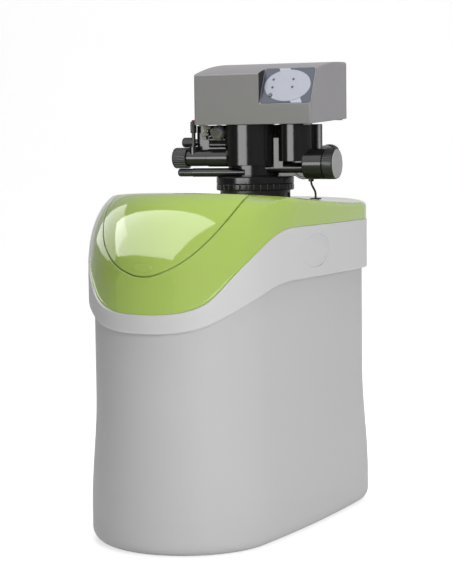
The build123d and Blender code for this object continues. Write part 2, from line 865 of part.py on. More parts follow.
def make_valve_body():
    """Moulded valve: flange, waist, two piston cylinders, web, ports and manifold in one piece."""
    flange = rod_z(flange_radius, flange_bottom, waist_bottom, 0, vessel_y)
    flange = chamfer(flange.edges().group_by(Axis.Z)[-1], waist_groove)
    body = flange + rod_z(waist_radius, waist_bottom, waist_top, 0, vessel_y)
    groove = rod_z(waist_radius + waist_groove, waist_bottom, waist_bottom + waist_groove, 0, vessel_y)
    body -= groove - rod_z(waist_radius - waist_groove, waist_bottom, waist_top, 0, vessel_y)
    body += rod_z(valve_plug_radius, flange_bottom - valve_plug_length, flange_bottom, 0, vessel_y)
    body += rod_z(main_cylinder_radius, waist_top, cylinder_top, main_cylinder_x, main_y)
    body += rod_z(side_cylinder_radius, side_cylinder_bottom, cylinder_top, side_cylinder_x, main_y)
    web_front = main_y + web_setback
    web_back = web_front + web_thickness
    body += block(main_cylinder_x, side_cylinder_x, web_front, web_back, web_bottom, cylinder_top)
    body += block(side_cylinder_x, web_reach, web_front, web_back, web_step, cylinder_top)
    body += rod_x(right_pipe_radius, 0, outlet_start, main_y, right_pipe_height)
    body += block(
        pipe_rise_start, pipe_rise_start + 2 * right_pipe_radius,
        main_y - right_pipe_radius, main_y + right_pipe_radius,
        right_pipe_height, cylinder_top - web_step + waist_top,
    )
    outlet_end = outlet_start + outlet_body_length
    outlet = rod_x(outlet_body_radius, outlet_start, outlet_end, main_y, outlet_height)
    body += fillet(outlet.edges().group_by(Axis.X)[0], outlet_rounding)
    rear_y_start = front_y + rear_port_front
    rear_y_end = rear_y_start + rear_port_length
    port = rod_y(rear_port_radius, rear_y_start, rear_y_end, rear_port_x, rear_port_height)
    port -= rod_y(
        rear_port_radius - rear_ring_width, rear_y_start, rear_y_start + rear_ring_depth,
        rear_port_x, rear_port_height,
    )
    body += port
    body += block(
        waist_radius / 2, rear_port_x, rear_y_start + rear_ring_depth, rear_y_end,
        waist_bottom, rear_port_height + rear_port_radius / 2,
    )
    inlet_y = front_y + inlet_front
    body += rod_y(inlet_radius, inlet_y, inlet_y + inlet_length, inlet_x, inlet_height)
    body += rod_z(lead_boss_radius, lead_boss_bottom, rear_port_height, lead_top_x, front_y + lead_top_y)
    manifold_y = front_y + manifold_front
    body += block(
        -manifold_left, -manifold_right, manifold_y, manifold_y + manifold_depth,
        manifold_bottom, cylinder_top,
    )
    for height in (manifold_rib_high, manifold_rib_low):
        body += rod_x(manifold_rib_radius, -manifold_rib_start, -manifold_right, manifold_y, height)
    left_y = front_y + left_pipe_y
    body += rod_x(left_pipe_radius, -left_pipe_start, 0, left_y, left_pipe_height)
    body += rod_x(left_pipe_radius + left_pipe_step, -left_pipe_sleeve, 0, left_y, left_pipe_height)
    body += rod_x(brine_pipe_radius, -brine_pipe_start, 0, front_y + brine_pipe_y, brine_pipe_height)
    service_y = front_y + service_pipe_y
    body += rod_x(service_pipe_radius, -service_pipe_start, -manifold_right, service_y, service_pipe_height)
    place_y = front_y + spindle_y
    body += rod_z(spindle_boss_radius, left_pipe_height, spindle_boss_top, -spindle_x, place_y)
    body += block(
        -spindle_x - spindle_boss_radius, spindle_boss_radius - spindle_x, place_y, manifold_y,
        manifold_bottom, spindle_boss_top,
    )
    cap_y = front_y + injector_y
    body += rod_y(injector_radius, front_y + injector_body_front, cap_y, -injector_x, injector_height)
    body += rod_y(
        injector_neck_radius, front_y + injector_body_front - injector_neck_length, cap_y,
        -injector_x, injector_height,
    )
    return body - valve_bores()


def valve_bores():
    """Everything that is hollow in the valve."""
    plug_foot = flange_bottom - valve_plug_length
    bores = rod_z(riser_radius + lead_fit, plug_foot, riser_top + seam_gap, 0, vessel_y)
    bores += rod_z(main_bore_radius, main_floor_height, cylinder_top, main_cylinder_x, main_y)
    bores += rod_z(side_bore_radius, side_floor_height, cylinder_top, side_cylinder_x, main_y)
    outlet_end = outlet_start + outlet_body_length
    bores += rod_x(outlet_bore_radius, outlet_end - outlet_bore_depth, outlet_end, main_y, outlet_height)
    inlet_end = front_y + inlet_front + inlet_length
    bores += rod_y(inlet_bore_radius, inlet_end - inlet_bore_depth, inlet_end, inlet_x, inlet_height)
    left_end = drain_bore_depth - left_pipe_start
    bores += rod_x(drain_bore_radius, -left_pipe_start, left_end, front_y + left_pipe_y, left_pipe_height)
    brine_end = brine_bore_depth - brine_pipe_start
    bores += rod_x(brine_bore_radius, -brine_pipe_start, brine_end, front_y + brine_pipe_y, brine_pipe_height)
    service_end = brine_bore_depth - service_pipe_start
    bores += rod_x(
        brine_bore_radius, -service_pipe_start, service_end, front_y + service_pipe_y, service_pipe_height
    )
    bores += rod_z(
        spindle_radius + hinge_running_gap, spindle_boss_top - spindle_seat_depth, spindle_boss_top,
        -spindle_x, front_y + spindle_y,
    )
    lead_seat_y = front_y + lead_top_y
    bores += rod_z(lead_radius + lead_fit, lead_boss_bottom, lead_top + seam_gap, lead_top_x, lead_seat_y)
    injector_start = front_y + injector_body_front - injector_neck_length
    bores += rod_y(
        injector_neck_radius / 2, injector_start, front_y + injector_y, -injector_x, injector_height
    )
    return bores


def plug_cap(radius, tenon_radius, tenon_length, length, gap):
    """Transport cap along X: disc with rounded outer edge and a tenon that points to -X."""
    cap = rod_x(radius, gap, gap + length, 0, 0)
    cap = fillet(cap.edges().group_by(Axis.X)[-1], cap_rounding)
    return cap + rod_x(tenon_radius, gap - tenon_length, gap + length / 2, 0, 0)


def make_outlet_cap():
    """Round cap in the outlet, with a groove where it meets the pipe."""
    start = outlet_start + outlet_body_length + port_gap
    cap = rod_x(outlet_cap_radius, start, start + outlet_cap_length, main_y, outlet_height)
    cap = chamfer(cap.edges(), outlet_cap_chamfer)
    middle = start + outlet_cap_length / 2
    return cap + rod_x(outlet_bore_radius - port_gap, start - outlet_tenon, middle, main_y, outlet_height)


def make_outlet_disc():
    """Pale face of the outlet cap."""
    start = outlet_start + outlet_body_length + port_gap + outlet_cap_length
    disc = rod_x(outlet_disc_radius, start, start + outlet_disc_thickness, main_y, outlet_height)
    return fillet(disc.edges().group_by(Axis.X)[-1], outlet_disc_thickness / 2)


def make_inlet_cap():
    """Round cap of the rear port."""
    cap = plug_cap(inlet_cap_radius, inlet_bore_radius - port_gap, outlet_tenon, inlet_cap_length, port_gap)
    return Pos(inlet_x, front_y + inlet_front + inlet_length, inlet_height) * Rot(0, 0, 90) * cap


def make_drain_cap():
    """Ribbed cap at the left."""
    cap = plug_cap(drain_cap_radius, drain_bore_radius - port_gap, outlet_tenon, drain_cap_length, port_gap)
    for index in range(drain_rib_count):
        groove = rod_x(drain_rib_depth, 0, drain_cap_length - cap_rounding, drain_cap_radius, 0)
        cap -= Rot(360 * index / drain_rib_count, 0, 0) * groove
    return Pos(-left_pipe_start, front_y + left_pipe_y, left_pipe_height) * Rot(0, 0, 180) * cap


def make_brine_cap():
    """Small cap at the left, low."""
    cap = plug_cap(brine_cap_radius, brine_bore_radius - port_gap, outlet_tenon, brine_cap_length, port_gap)
    return Pos(-brine_pipe_start, front_y + brine_pipe_y, brine_pipe_height) * Rot(0, 0, 180) * cap


def make_service_cap():
    """Small cap at the left, high."""
    tenon_radius = brine_bore_radius - port_gap
    cap = plug_cap(service_cap_radius, tenon_radius, outlet_tenon, service_cap_length, port_gap)
    place = Pos(-service_pipe_start, front_y + service_pipe_y, service_pipe_height)
    return place * Rot(0, 0, 180) * cap


def make_blend_spindle():
    """Adjusting spindle with a slotted, grooved head."""
    place_y = front_y + spindle_y
    foot = spindle_boss_top - spindle_seat_depth + seam_gap
    rod = rod_z(spindle_radius, foot, spindle_head_bottom, -spindle_x, place_y)
    head = rod_z(spindle_head_radius, spindle_head_bottom, spindle_head_top, -spindle_x, place_y)
    head = chamfer(head.edges(), spindle_slot / 2)
    pointer = block(
        -spindle_x - spindle_slot / 2, spindle_slot / 2 - spindle_x,
        place_y - spindle_head_radius - spindle_slot, place_y,
        spindle_head_bottom + spindle_slot, spindle_head_top - spindle_slot,
    )
    collar_foot = spindle_boss_top + seam_gap
    collar = rod_z(spindle_head_radius, collar_foot, collar_foot + spindle_slot, -spindle_x, place_y)
    return rod + head + pointer + collar


def make_spindle_tip():
    """Red tip on the spindle."""
    place_y = front_y + spindle_y
    top = spindle_head_top + spindle_tip_height
    tip = rod_z(spindle_tip_radius, spindle_head_top, top, -spindle_x, place_y)
    return fillet(tip.edges().group_by(Axis.Z)[-1], spindle_tip_height / 3)


def make_injector_cap():
    """Clear domed cap over the injector."""
    end = front_y + injector_body_front - port_gap
    start = end - injector_cap_length
    cap = rod_y(injector_cap_radius, start, end, -injector_x, injector_height)
    cap = fillet(cap.edges().group_by(Axis.Y)[0], injector_cap_length / 2)
    inside_radius = injector_neck_radius + port_gap
    inside = rod_y(inside_radius, start + injector_cap_wall, end, -injector_x, injector_height)
    inside = fillet(inside.edges().group_by(Axis.Y)[0], injector_cap_wall)
    return cap - inside


def make_cylinder_caps():
    """Caps that close the two cylinders."""
    caps = []
    for x, radius, bore in (
        (main_cylinder_x, main_cylinder_radius, main_bore_radius),
        (side_cylinder_x, side_cylinder_radius, side_bore_radius),
    ):
        bottom = cylinder_top + port_gap
        top = cylinder_top + cap_thickness
        cap = rod_z(radius - cap_radius_step, bottom, top, x, main_y)
        cap += rod_z(bore - port_gap, cylinder_top - cap_plug_length, bottom, x, main_y)
        for screw_x, screw_y in screw_places():
            cap -= rod_z(screw_radius, base_top - screw_length, top, screw_x, screw_y)
        caps.append(cap)
    return Compound(children=caps)


def piston(radius, x, floor):
    """Piston with its stem and a groove for the seal."""
    bottom = floor + piston_rest
    top = bottom + piston_height
    body = rod_z(radius, bottom, top, x, main_y)
    body += rod_z(piston_stem_radius, top, piston_stem_top, x, main_y)
    middle = (bottom + top) / 2
    groove = rod_z(radius, middle - seal_radius, middle + seal_radius, x, main_y)
    groove -= rod_z(radius - seal_groove_depth * 2, middle - seal_radius, middle + seal_radius, x, main_y)
    return body - groove


def seal(radius, x, floor):
    """Seal in a piston's groove."""
    middle = floor + piston_rest + piston_height / 2
    return Pos(x, main_y, middle) * Torus(radius - seal_radius, seal_radius)


def make_piston_main():
    """Piston in the large cylinder."""
    return piston(main_bore_radius - piston_gap, main_cylinder_x, main_floor_height)


def make_piston_side():
    """Piston in the small cylinder."""
    return piston(side_bore_radius - piston_gap, side_cylinder_x, side_floor_height)


def make_seal_main():
    """Seal of the large piston."""
    return seal(main_bore_radius - piston_gap, main_cylinder_x, main_floor_height)


def make_seal_side():
    """Seal of the small piston."""
    return seal(side_bore_radius - piston_gap, side_cylinder_x, side_floor_height)


def on_panel(u_share, v_share, out=0):
    """Place on the sloping panel, from shares of its width and height."""
    width = panel_right - panel_left
    return panel_plane * Pos((u_share - 0.5) * width, (v_share - 0.5) * panel_length, out)


def cover_block(inset, bottom_drop):
    """Control head's cover as a full block, moved inwards."""
    front = cover_y + inset
    rear = cover_y + cover_depth - inset
    arch = ThreePointArc(
        (front, cover_top_front - inset),
        (cover_y + cover_top_middle_place, cover_top_middle - inset),
        (rear, cover_top_rear - inset),
    )
    sides = Polyline(
        (rear, cover_top_rear - inset),
        (rear, cover_bottom_rear - bottom_drop),
        (front, cover_bottom_front - bottom_drop),
        (front, cover_top_front - inset),
    )
    plane = Plane(origin=(inset - cover_left, 0, 0), x_dir=(0, 1, 0), z_dir=(1, 0, 0))
    body = extrude(plane * make_face([arch, sides]), cover_left + cover_right - 2 * inset)
    uprights = body.edges().filter_by(Axis.Z)
    body = fillet(uprights, cover_edge_radius - inset)
    top_edges = body.edges().filter_by(lambda edge: edge.center().Z > panel_head - cover_edge_radius * 2)
    return fillet([edge for edge in top_edges if not upright(edge)], cover_top_radius - inset)


def upright(edge):
    """True for an edge that runs straight up."""
    return abs(edge.tangent_at(0.5).Z) > 0.9


def panel_notch(grow):
    """Wedge cut away in front of the sloping panel, grown into the block."""
    start = notch_left - grow
    width = cover_left + cover_right
    height = 2 * panel_length
    middle = Pos(start + width / 2 - panel_plane.origin.X, 0, height / 2 - grow)
    return panel_plane * middle * Box(width, height, height)


def make_head_cover():
    """Cover of the control head, with the cut-in sloping panel, its rests and the board's posts."""
    cover = cover_block(0, 0) - panel_notch(0)
    cover = fillet(notch_edges(cover), notch_rounding)
    cover -= cover_block(cover_wall, cut_overrun) - panel_notch(cover_wall)
    for x in (-cover_left + cover_wall, cover_right - cover_wall - rest_size):
        for y in (cover_y + rest_place, cover_y + cover_depth - rest_place - rest_size):
            cover += block(
                x, x + rest_size, y, y + rest_size, base_top + seam_gap, base_top + seam_gap + rest_size
            )
    for u_share in board_post_shares:
        for v_share in board_post_shares:
            post = extrude(Circle(board_post_radius), -board_gap)
            cover += on_panel(u_share, v_share, -cover_wall) * post
    hole = extrude(Circle(button_radius + button_gap), cover_wall + cut_overrun, both=True)
    return cover - on_panel(button_column_share, button_row_share) * hole


def notch_edges(body):
    """Outside edges of the wedge in the cover's front."""

    def kept(edge):
        middle = edge.center()
        on_left = abs(middle.X - notch_left) < seam_gap
        inside = cover_y + cover_edge_radius < middle.Y
        return on_left and middle.Z > panel_foot and not inside

    return [edge for edge in body.edges() if kept(edge)]


def make_panel_plate():
    """Thin printed plate on the sloping panel, left bare."""
    outline = RectangleRounded(panel_plate_width, panel_plate_height, cover_top_radius)
    plate = extrude(outline, panel_plate_thickness)
    hole = extrude(Circle(button_radius + button_gap), cover_wall + cut_overrun, both=True)
    return on_panel(0.5, 0.5) * plate - on_panel(button_column_share, button_row_share) * hole


def panel_places():
    """Places of the lamps on the panel."""
    return [(u_share, v_share) for u_share in led_column_shares for v_share in led_row_shares]


def make_panel_oval():
    """Pale oval on the plate."""
    half_x = (panel_right - panel_left) * panel_oval_width_share / 2
    half_y = panel_length * panel_oval_height_share / 2
    oval = on_panel(0.5, 0.5, panel_plate_thickness) * extrude(Ellipse(half_x, half_y), oval_thickness)
    for u_share, v_share in panel_places():
        oval -= on_panel(u_share, v_share) * extrude(Circle(led_radius), cover_wall)
    hole = extrude(Circle(button_radius + button_gap), cover_wall + cut_overrun, both=True)
    return oval - on_panel(button_column_share, button_row_share) * hole


def make_led_lenses():
    """Small lamp lenses on the panel."""
    lenses = []
    for u_share, v_share in panel_places():
        lens = extrude(Circle(led_radius), led_height)
        lens = fillet(lens.edges().group_by(Axis.Z)[-1], led_height / 2)
        lenses.append(on_panel(u_share, v_share, panel_plate_thickness) * lens)
    return Compound(children=lenses)


def make_start_button():
    """Push button with its stem and the flange that keeps it in the cover."""
    top = panel_plate_thickness + oval_thickness + button_height
    cap = extrude(Circle(button_radius), top)
    cap = fillet(cap.edges().group_by(Axis.Z)[-1], button_height / 3)
    cap += extrude(Circle(button_radius), -cover_wall - button_gap)
    flange_top = -cover_wall - button_gap
    flange = extrude(Circle(button_radius + button_flange), button_flange)
    flange = Pos(0, 0, flange_top - button_flange) * flange
    stem_end = -cover_wall - board_gap + switch_height + button_travel + switch_gap
    stem = Pos(0, 0, stem_end) * extrude(Circle(button_stem_radius), flange_top - stem_end)
    return on_panel(button_column_share, button_row_share) * (cap + flange + stem)


def make_control_board():
    """Board behind the panel, held by the cover's posts."""
    board = extrude(Rectangle(board_width, board_height), -board_thickness)
    return on_panel(0.5, 0.5, -cover_wall - board_gap) * board


def make_button_switch():
    """Small switch behind the button."""
    switch = extrude(Rectangle(switch_size, switch_size), switch_height)
    return on_panel(button_column_share, button_row_share, -cover_wall - board_gap) * switch


def make_base_plate():
    """Plate on the valve's cylinders that carries the control head."""
    gap = cover_wall + seam_gap
    plate = block(
        gap - cover_left, cover_right - gap, cover_y + gap, cover_y + cover_depth - gap, base_bottom, base_top
    )
    plate = fillet(plate.edges().filter_by(Axis.Z), cover_edge_radius)
    for x, y in screw_places():
        plate -= rod_z(screw_radius, base_bottom, base_top, x, y)
    return plate


def screw_places():
    """Places of the screws that hold the plate on the cylinder caps."""
    places = []
    for x, radius in ((main_cylinder_x, main_cylinder_radius), (side_cylinder_x, side_cylinder_radius)):
        reach = radius - screw_inset
        for side in (-1, 1):
            places.append((x + side * reach * cos(pi / 4), main_y + side * reach * sin(pi / 4)))
    return places


def make_cap_screws():
    """Pan-head screws through the plate into the caps."""
    screws = []
    for x, y in screw_places():
        head = rod_z(screw_head_radius, base_top, base_top + screw_head_height, x, y)
        head = fillet(head.edges().group_by(Axis.Z)[-1], screw_head_height / 3)
        socket = rod_z(screw_radius / 2, base_top + screw_head_height / 2, base_top + screw_head_height, x, y)
        shank = rod_z(screw_radius, base_top - screw_length, base_top, x, y)
        screws.append(head + shank - socket)
    return Compound(children=screws)


def make_cover_clips():
    """Clips on the plate's edge that show under the cover."""
    clips = []
    slope = (cover_bottom_rear - cover_bottom_front) / cover_depth
    for x in (-cover_left + clip_inset, cover_right - clip_inset):
        for y in (cover_y + clip_place, cover_y + cover_depth - clip_place - clip_thickness):
            foot = cover_bottom_front + slope * (y - cover_y) - clip_show
            side = x + clip_width / 2
            clips.append(block(side - clip_width, side, y, y + clip_thickness, foot, base_bottom))
    return Compound(children=clips)


def gear(teeth, height, bore):
    """Spur gear with straight-sided teeth and running room between them."""
    pitch_radius = gear_module * teeth / 2
    tip = pitch_radius + gear_module * tooth_tip_share
    root = pitch_radius - gear_module * tooth_root_share
    step = 2 * pi / teeth
    points = []
    for index in range(teeth):
        for radius, share in (
            (root, -tooth_foot_share), (tip, -tooth_top_share),
            (tip, tooth_top_share), (root, tooth_foot_share),
        ):
            angle = step * (index + share)
            points.append((radius * cos(angle), radius * sin(angle)))
    body = extrude(make_face(Polyline(*points, close=True)), height)
    return body - extrude(Circle(bore), height)


def make_pilot_block():
    """Round pilot valve with its ring of small ports."""
    x, y = pilot_place
    body = rod_z(pilot_block_radius, pilot_bottom, pilot_bottom + pilot_block_height, x, y)
    body = chamfer(body.edges(), cap_rounding / 2)
    body += rod_z(pilot_post_radius, pilot_bottom, gear_bottom + gear_height + disc_hub_height, x, y)
    for index in range(pilot_port_count):
        port = rod_x(pilot_port_radius, pilot_block_radius / 2, pilot_block_radius + pilot_port_length, 0, 0)
        turn = Rot(0, 0, 180 + pilot_port_step * (index - (pilot_port_count - 1) / 2))
        body += Pos(x, y, pilot_bottom + pilot_block_height / 2) * turn * port
    return body


def make_pilot_disc():
    """Geared pilot disc that turns on the block's post."""
    x, y = pilot_place
    disc = Pos(x, y, gear_bottom) * gear(disc_teeth, gear_height, pilot_post_radius + hinge_running_gap)
    hub = rod_z(disc_hub_radius, gear_bottom + gear_height, gear_bottom + gear_height + disc_hub_height, x, y)
    hub -= rod_z(
        pilot_post_radius + hinge_running_gap, gear_bottom, gear_bottom + gear_height + disc_hub_height, x, y
    )
    mark_y = y - (pilot_block_radius + disc_hub_radius) / 2
    return disc + hub - rod_z(shaft_radius, gear_bottom, gear_bottom + gear_height, x, mark_y)


def make_drive_motor():
    """Flat geared motor beside the pilot disc."""
    x, y = pinion_place
    can_top = gear_bottom - gear_gap - shaft_radius
    can = rod_z(motor_radius, pilot_bottom, can_top, x + motor_shaft_offset, y)
    can = fillet(can.edges().group_by(Axis.Z)[-1], shaft_radius)
    foot = block(
        x + motor_shaft_offset - motor_foot_half, x + motor_shaft_offset + motor_foot_half,
        y - motor_foot_reach, y + motor_foot_reach, pilot_bottom, pilot_bottom + motor_foot_thickness,
    )
    return can + foot + rod_z(shaft_radius * 2, pilot_bottom, can_top + shaft_radius / 2, x, y)


def make_motor_pinion():
    """Pinion and its shaft, driving the disc."""
    x, y = pinion_place
    pinion = Pos(x, y, gear_bottom) * gear(pinion_teeth, gear_height, shaft_radius / 2)
    bottom = gear_bottom - gear_gap / 2
    return pinion + rod_z(shaft_radius, bottom, gear_bottom + gear_height, x, y)


def make_pilot_fittings():
    """White elbows that stand in the front of the manifold, each with its nozzle."""
    fittings = []
    seat_y = front_y + manifold_front
    nozzle_y = seat_y - fitting_reach
    side_y = nozzle_y + fitting_length / 2
    for x, height in fitting_places:
        body = rod_y(fitting_radius, nozzle_y, seat_y, -x, height)
        body = fillet(body.edges().group_by(Axis.Y)[0], tube_radius / 2)
        body += rod_x(tube_radius, -x, fitting_length - x, side_y, height)
        body += rod_z(tube_radius - port_gap, height - fitting_length, height, -x, side_y)
        fittings.append(body)
    return Compound(children=fittings)


def make_sensor_lead():
    """Thin lead from the port down through the grommet to its plug."""
    top_y = front_y + lead_top_y
    path = FilletPolyline(
        (lead_top_x, top_y, lead_top),
        (lead_top_x, top_y, lead_bend_top),
        (lead_x, lead_y, lead_bend_foot),
        (lead_x, lead_y, plug_top),
        radius=(lead_bend_radius, lead_bend_radius),
    )
    plane = Plane(origin=(lead_top_x, top_y, lead_top), z_dir=(0, 0, -1))
    return sweep(plane * Circle(lead_radius), path)


def make_lead_grommet():
    """Grommet in the hood round the lead."""
    flange = rod_z(grommet_flange_radius, grommet_height, grommet_height + grommet_flange, lead_x, lead_y)
    flange = fillet(flange.edges().group_by(Axis.Z)[-1], grommet_flange / 3)
    body = rod_z(grommet_radius, grommet_height - grommet_length, grommet_height, lead_x, lead_y)
    hole = rod_z(lead_radius + lead_fit, grommet_height - grommet_length, lead_bend_foot, lead_x, lead_y)
    return flange + body - hole


def make_lead_plug():
    """Plug at the lead's lower end."""
    body = block(
        lead_x - plug_width / 2, lead_x + plug_width / 2, lead_y - plug_depth / 2, lead_y + plug_depth / 2,
        plug_top - plug_height, plug_top,
    )
    return fillet(body.edges().filter_by(Axis.Z), lead_radius)


def make_brine_well():
    """Upright tube in the tub's corner, slotted at the foot, holed for the elbow."""
    top = floor_top + well_height
    well = rod_z(well_radius, floor_top, top, well_place_x, well_y)
    well -= rod_z(well_radius - well_wall, 0, top, well_place_x, well_y)
    for index in range(well_slot_count):
        slot = block(
            well_radius / 2, well_radius + well_wall, -well_slot_width / 2, well_slot_width / 2,
            floor_top + well_wall * 2, floor_top + well_slot_height,
        )
        well -= Pos(well_place_x, well_y, 0) * Rot(0, 0, 360 * index / well_slot_count) * slot
    end = well_y + 2 * well_radius
    return well - rod_y(elbow_spigot_radius + seam_gap, well_y, end, well_place_x, brine_elbow_height)


def make_well_cap():
    """Cap that lifts off the brine well."""
    bottom = floor_top + well_height + seam_gap
    outer = well_radius + seam_gap + well_wall
    cap = rod_z(outer, bottom - well_cap_skirt, bottom + well_cap_thickness, well_place_x, well_y)
    cap = fillet(cap.edges().group_by(Axis.Z)[-1], well_wall / 2)
    return cap - rod_z(well_radius + seam_gap, 0, bottom, well_place_x, well_y)


def make_float_seat():
    """Seat at the well's foot for the float's rod and the riser."""
    bottom = floor_top + seam_gap
    seat = rod_z(seat_radius, bottom, bottom + seat_height, well_place_x, well_y)
    riser_y = well_y + brine_riser_offset
    seat += block(
        well_place_x - seat_arm_width / 2, well_place_x + seat_arm_width / 2,
        well_y, riser_y, bottom, seat_arm_top,
    )
    seat += rod_z(elbow_socket_radius, bottom, seat_arm_top, well_place_x, riser_y)
    seat -= rod_z(float_rod_radius, bottom + brine_riser_seat, crown_front, well_place_x, well_y)
    return seat - rod_z(brine_riser_radius, bottom + brine_riser_seat, crown_front, well_place_x, riser_y)


def make_float_rod():
    """Rod the float slides on."""
    start = floor_top + seam_gap + brine_riser_seat
    rod = rod_z(float_rod_radius, start, floor_top + well_height - float_rod_radius, well_place_x, well_y)
    stop_top = float_level - seam_gap
    return rod + rod_z(2 * float_rod_radius, stop_top - float_rod_radius, stop_top, well_place_x, well_y)


def make_brine_float():
    """Float on its rod."""
    body = rod_z(float_radius, float_level, float_level + float_height, well_place_x, well_y)
    body = fillet(body.edges(), float_rod_radius)
    return body - rod_z(float_rod_radius + float_gap, 0, crown_front, well_place_x, well_y)


def make_brine_riser():
    """Riser pipe in the well."""
    start = floor_top + seam_gap + brine_riser_seat
    end = brine_elbow_height + elbow_socket_depth - elbow_socket_radius
    riser_y = well_y + brine_riser_offset
    riser = rod_z(brine_riser_radius, start, end - elbow_socket_depth, well_place_x, riser_y)
    return riser - rod_z(brine_riser_radius - brine_riser_wall, start, end, well_place_x, riser_y)


def make_brine_elbow():
    """Elbow from the riser out through the well's wall."""
    riser_y = well_y + brine_riser_offset
    bottom = brine_elbow_height - elbow_socket_depth
    body = rod_z(elbow_socket_radius, bottom, brine_elbow_height + elbow_socket_radius, well_place_x, riser_y)
    body += rod_y(elbow_spigot_radius, riser_y, well_y + elbow_reach, well_place_x, brine_elbow_height)
    body -= rod_z(brine_riser_radius, bottom, brine_elbow_height - elbow_bore * 2, well_place_x, riser_y)
    body -= rod_z(elbow_bore, bottom, brine_elbow_height, well_place_x, riser_y)
    return body - rod_y(elbow_bore, riser_y, well_y + elbow_reach, well_place_x, brine_elbow_height)


def make_elbow_nut():
    """Nut that draws the elbow to the well's wall."""
    start = well_y + well_radius + seam_gap
    nut = rod_y(elbow_nut_radius, start, start + elbow_nut_length, well_place_x, brine_elbow_height)
    return nut - rod_y(elbow_spigot_radius, start, start + elbow_nut_length, well_place_x, brine_elbow_height)


def make_overflow_elbow():
    """Overflow through the tub's rear wall, turned down into a hose spout."""
    flange_start = wall_outside + seam_gap
    flange_end = flange_start + overflow_flange_thickness
    start = wall_inside - overflow_nut_thickness - overflow_flange_thickness
    end = flange_end + overflow_reach
    body = rod_y(overflow_body_radius, start, end, overflow_x, overflow_height)
    body = fillet(body.edges().group_by(Axis.Y)[-1], overflow_flange_thickness)
    body += rod_y(overflow_flange_radius, flange_start, flange_end, overflow_x, overflow_height)
    spout_y = end - overflow_body_radius
    knee_foot = overflow_height - overflow_body_radius - overflow_knee_drop
    knee = rod_z(overflow_body_radius, knee_foot, overflow_height, overflow_x, spout_y)
    body += chamfer(knee.edges().group_by(Axis.Z)[0], overflow_body_radius - overflow_spout_radius)
    foot = knee_foot - overflow_spout_length
    body += rod_z(overflow_spout_radius, foot, knee_foot, overflow_x, spout_y)
    body -= rod_y(overflow_bore, start, spout_y, overflow_x, overflow_height)
    return body - rod_z(overflow_spout_radius - riser_wall, foot, overflow_height, overflow_x, spout_y)


def make_overflow_nut():
    """Nut on the overflow, inside the tub."""
    end = wall_inside - seam_gap
    start = end - overflow_nut_thickness
    plane = Plane(origin=(overflow_x, start, overflow_height), x_dir=(1, 0, 0), z_dir=(0, 1, 0))
    nut = extrude(plane * RegularPolygon(overflow_nut_radius, 6), overflow_nut_thickness)
    return nut - rod_y(overflow_body_radius, start, end, overflow_x, overflow_height)


MAKERS = {
    "cabinet_tub": make_cabinet_tub,
    "cover_rim": make_cover_rim,
    "hood": make_hood,
    "salt_lid": make_salt_lid,
    "lid_badge": make_lid_badge,
    "lid_hinge_pins": make_lid_hinge_pins,
    "resin_vessel": make_resin_vessel,
    "vessel_foot": make_vessel_foot,
    "resin_bed": make_resin_bed,
    "distributor_tube": make_distributor_tube,
    "bottom_basket": make_bottom_basket,
    "neck_collar": make_neck_collar,
    "tank_nut": make_tank_nut,
    "valve_body": make_valve_body,
    "outlet_cap": make_outlet_cap,
    "outlet_disc": make_outlet_disc,
    "inlet_cap": make_inlet_cap,
    "drain_cap": make_drain_cap,
    "brine_cap": make_brine_cap,
    "service_cap": make_service_cap,
    "blend_spindle": make_blend_spindle,
    "spindle_tip": make_spindle_tip,
    "injector_cap": make_injector_cap,
    "cylinder_caps": make_cylinder_caps,
    "piston_main": make_piston_main,
    "piston_side": make_piston_side,
    "seal_main": make_seal_main,
    "seal_side": make_seal_side,
    "pilot_fittings": make_pilot_fittings,
    "base_plate": make_base_plate,
    "cap_screws": make_cap_screws,
    "cover_clips": make_cover_clips,
    "head_cover": make_head_cover,
    "panel_plate": make_panel_plate,
    "panel_oval": make_panel_oval,
    "led_lenses": make_led_lenses,
    "start_button": make_start_button,
    "control_board": make_control_board,
    "button_switch": make_button_switch,
    "pilot_block": make_pilot_block,
    "pilot_disc": make_pilot_disc,
    "drive_motor": make_drive_motor,
    "motor_pinion": make_motor_pinion,
    "sensor_lead": make_sensor_lead,
    "lead_grommet": make_lead_grommet,
    "lead_plug": make_lead_plug,
    "brine_well": make_brine_well,
    "well_cap": make_well_cap,
    "float_seat": make_float_seat,
    "float_rod": make_float_rod,
    "brine_float": make_brine_float,
    "brine_riser": make_brine_riser,
    "brine_elbow": make_brine_elbow,
    "elbow_nut": make_elbow_nut,
    "overflow_elbow": make_overflow_elbow,
    "overflow_nut": make_overflow_nut,
}

if __name__ == "__main__":
    os.makedirs("parts", exist_ok=True)
    for part_name, maker in MAKERS.items():
        save(maker(), part_name)
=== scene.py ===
# %% [markdown]
# # A cabinet water softener, dressed for the studio
# The solids come from the CAD model as a fixed frame. This script gives every piece its finish,
# adds the small repeated details, and sets up the studio. It starts by loading the frame.

# %% Load the frame
import json
import math

import bmesh
import bpy
from mathutils import Matrix, Vector
from mathutils.kdtree import KDTree

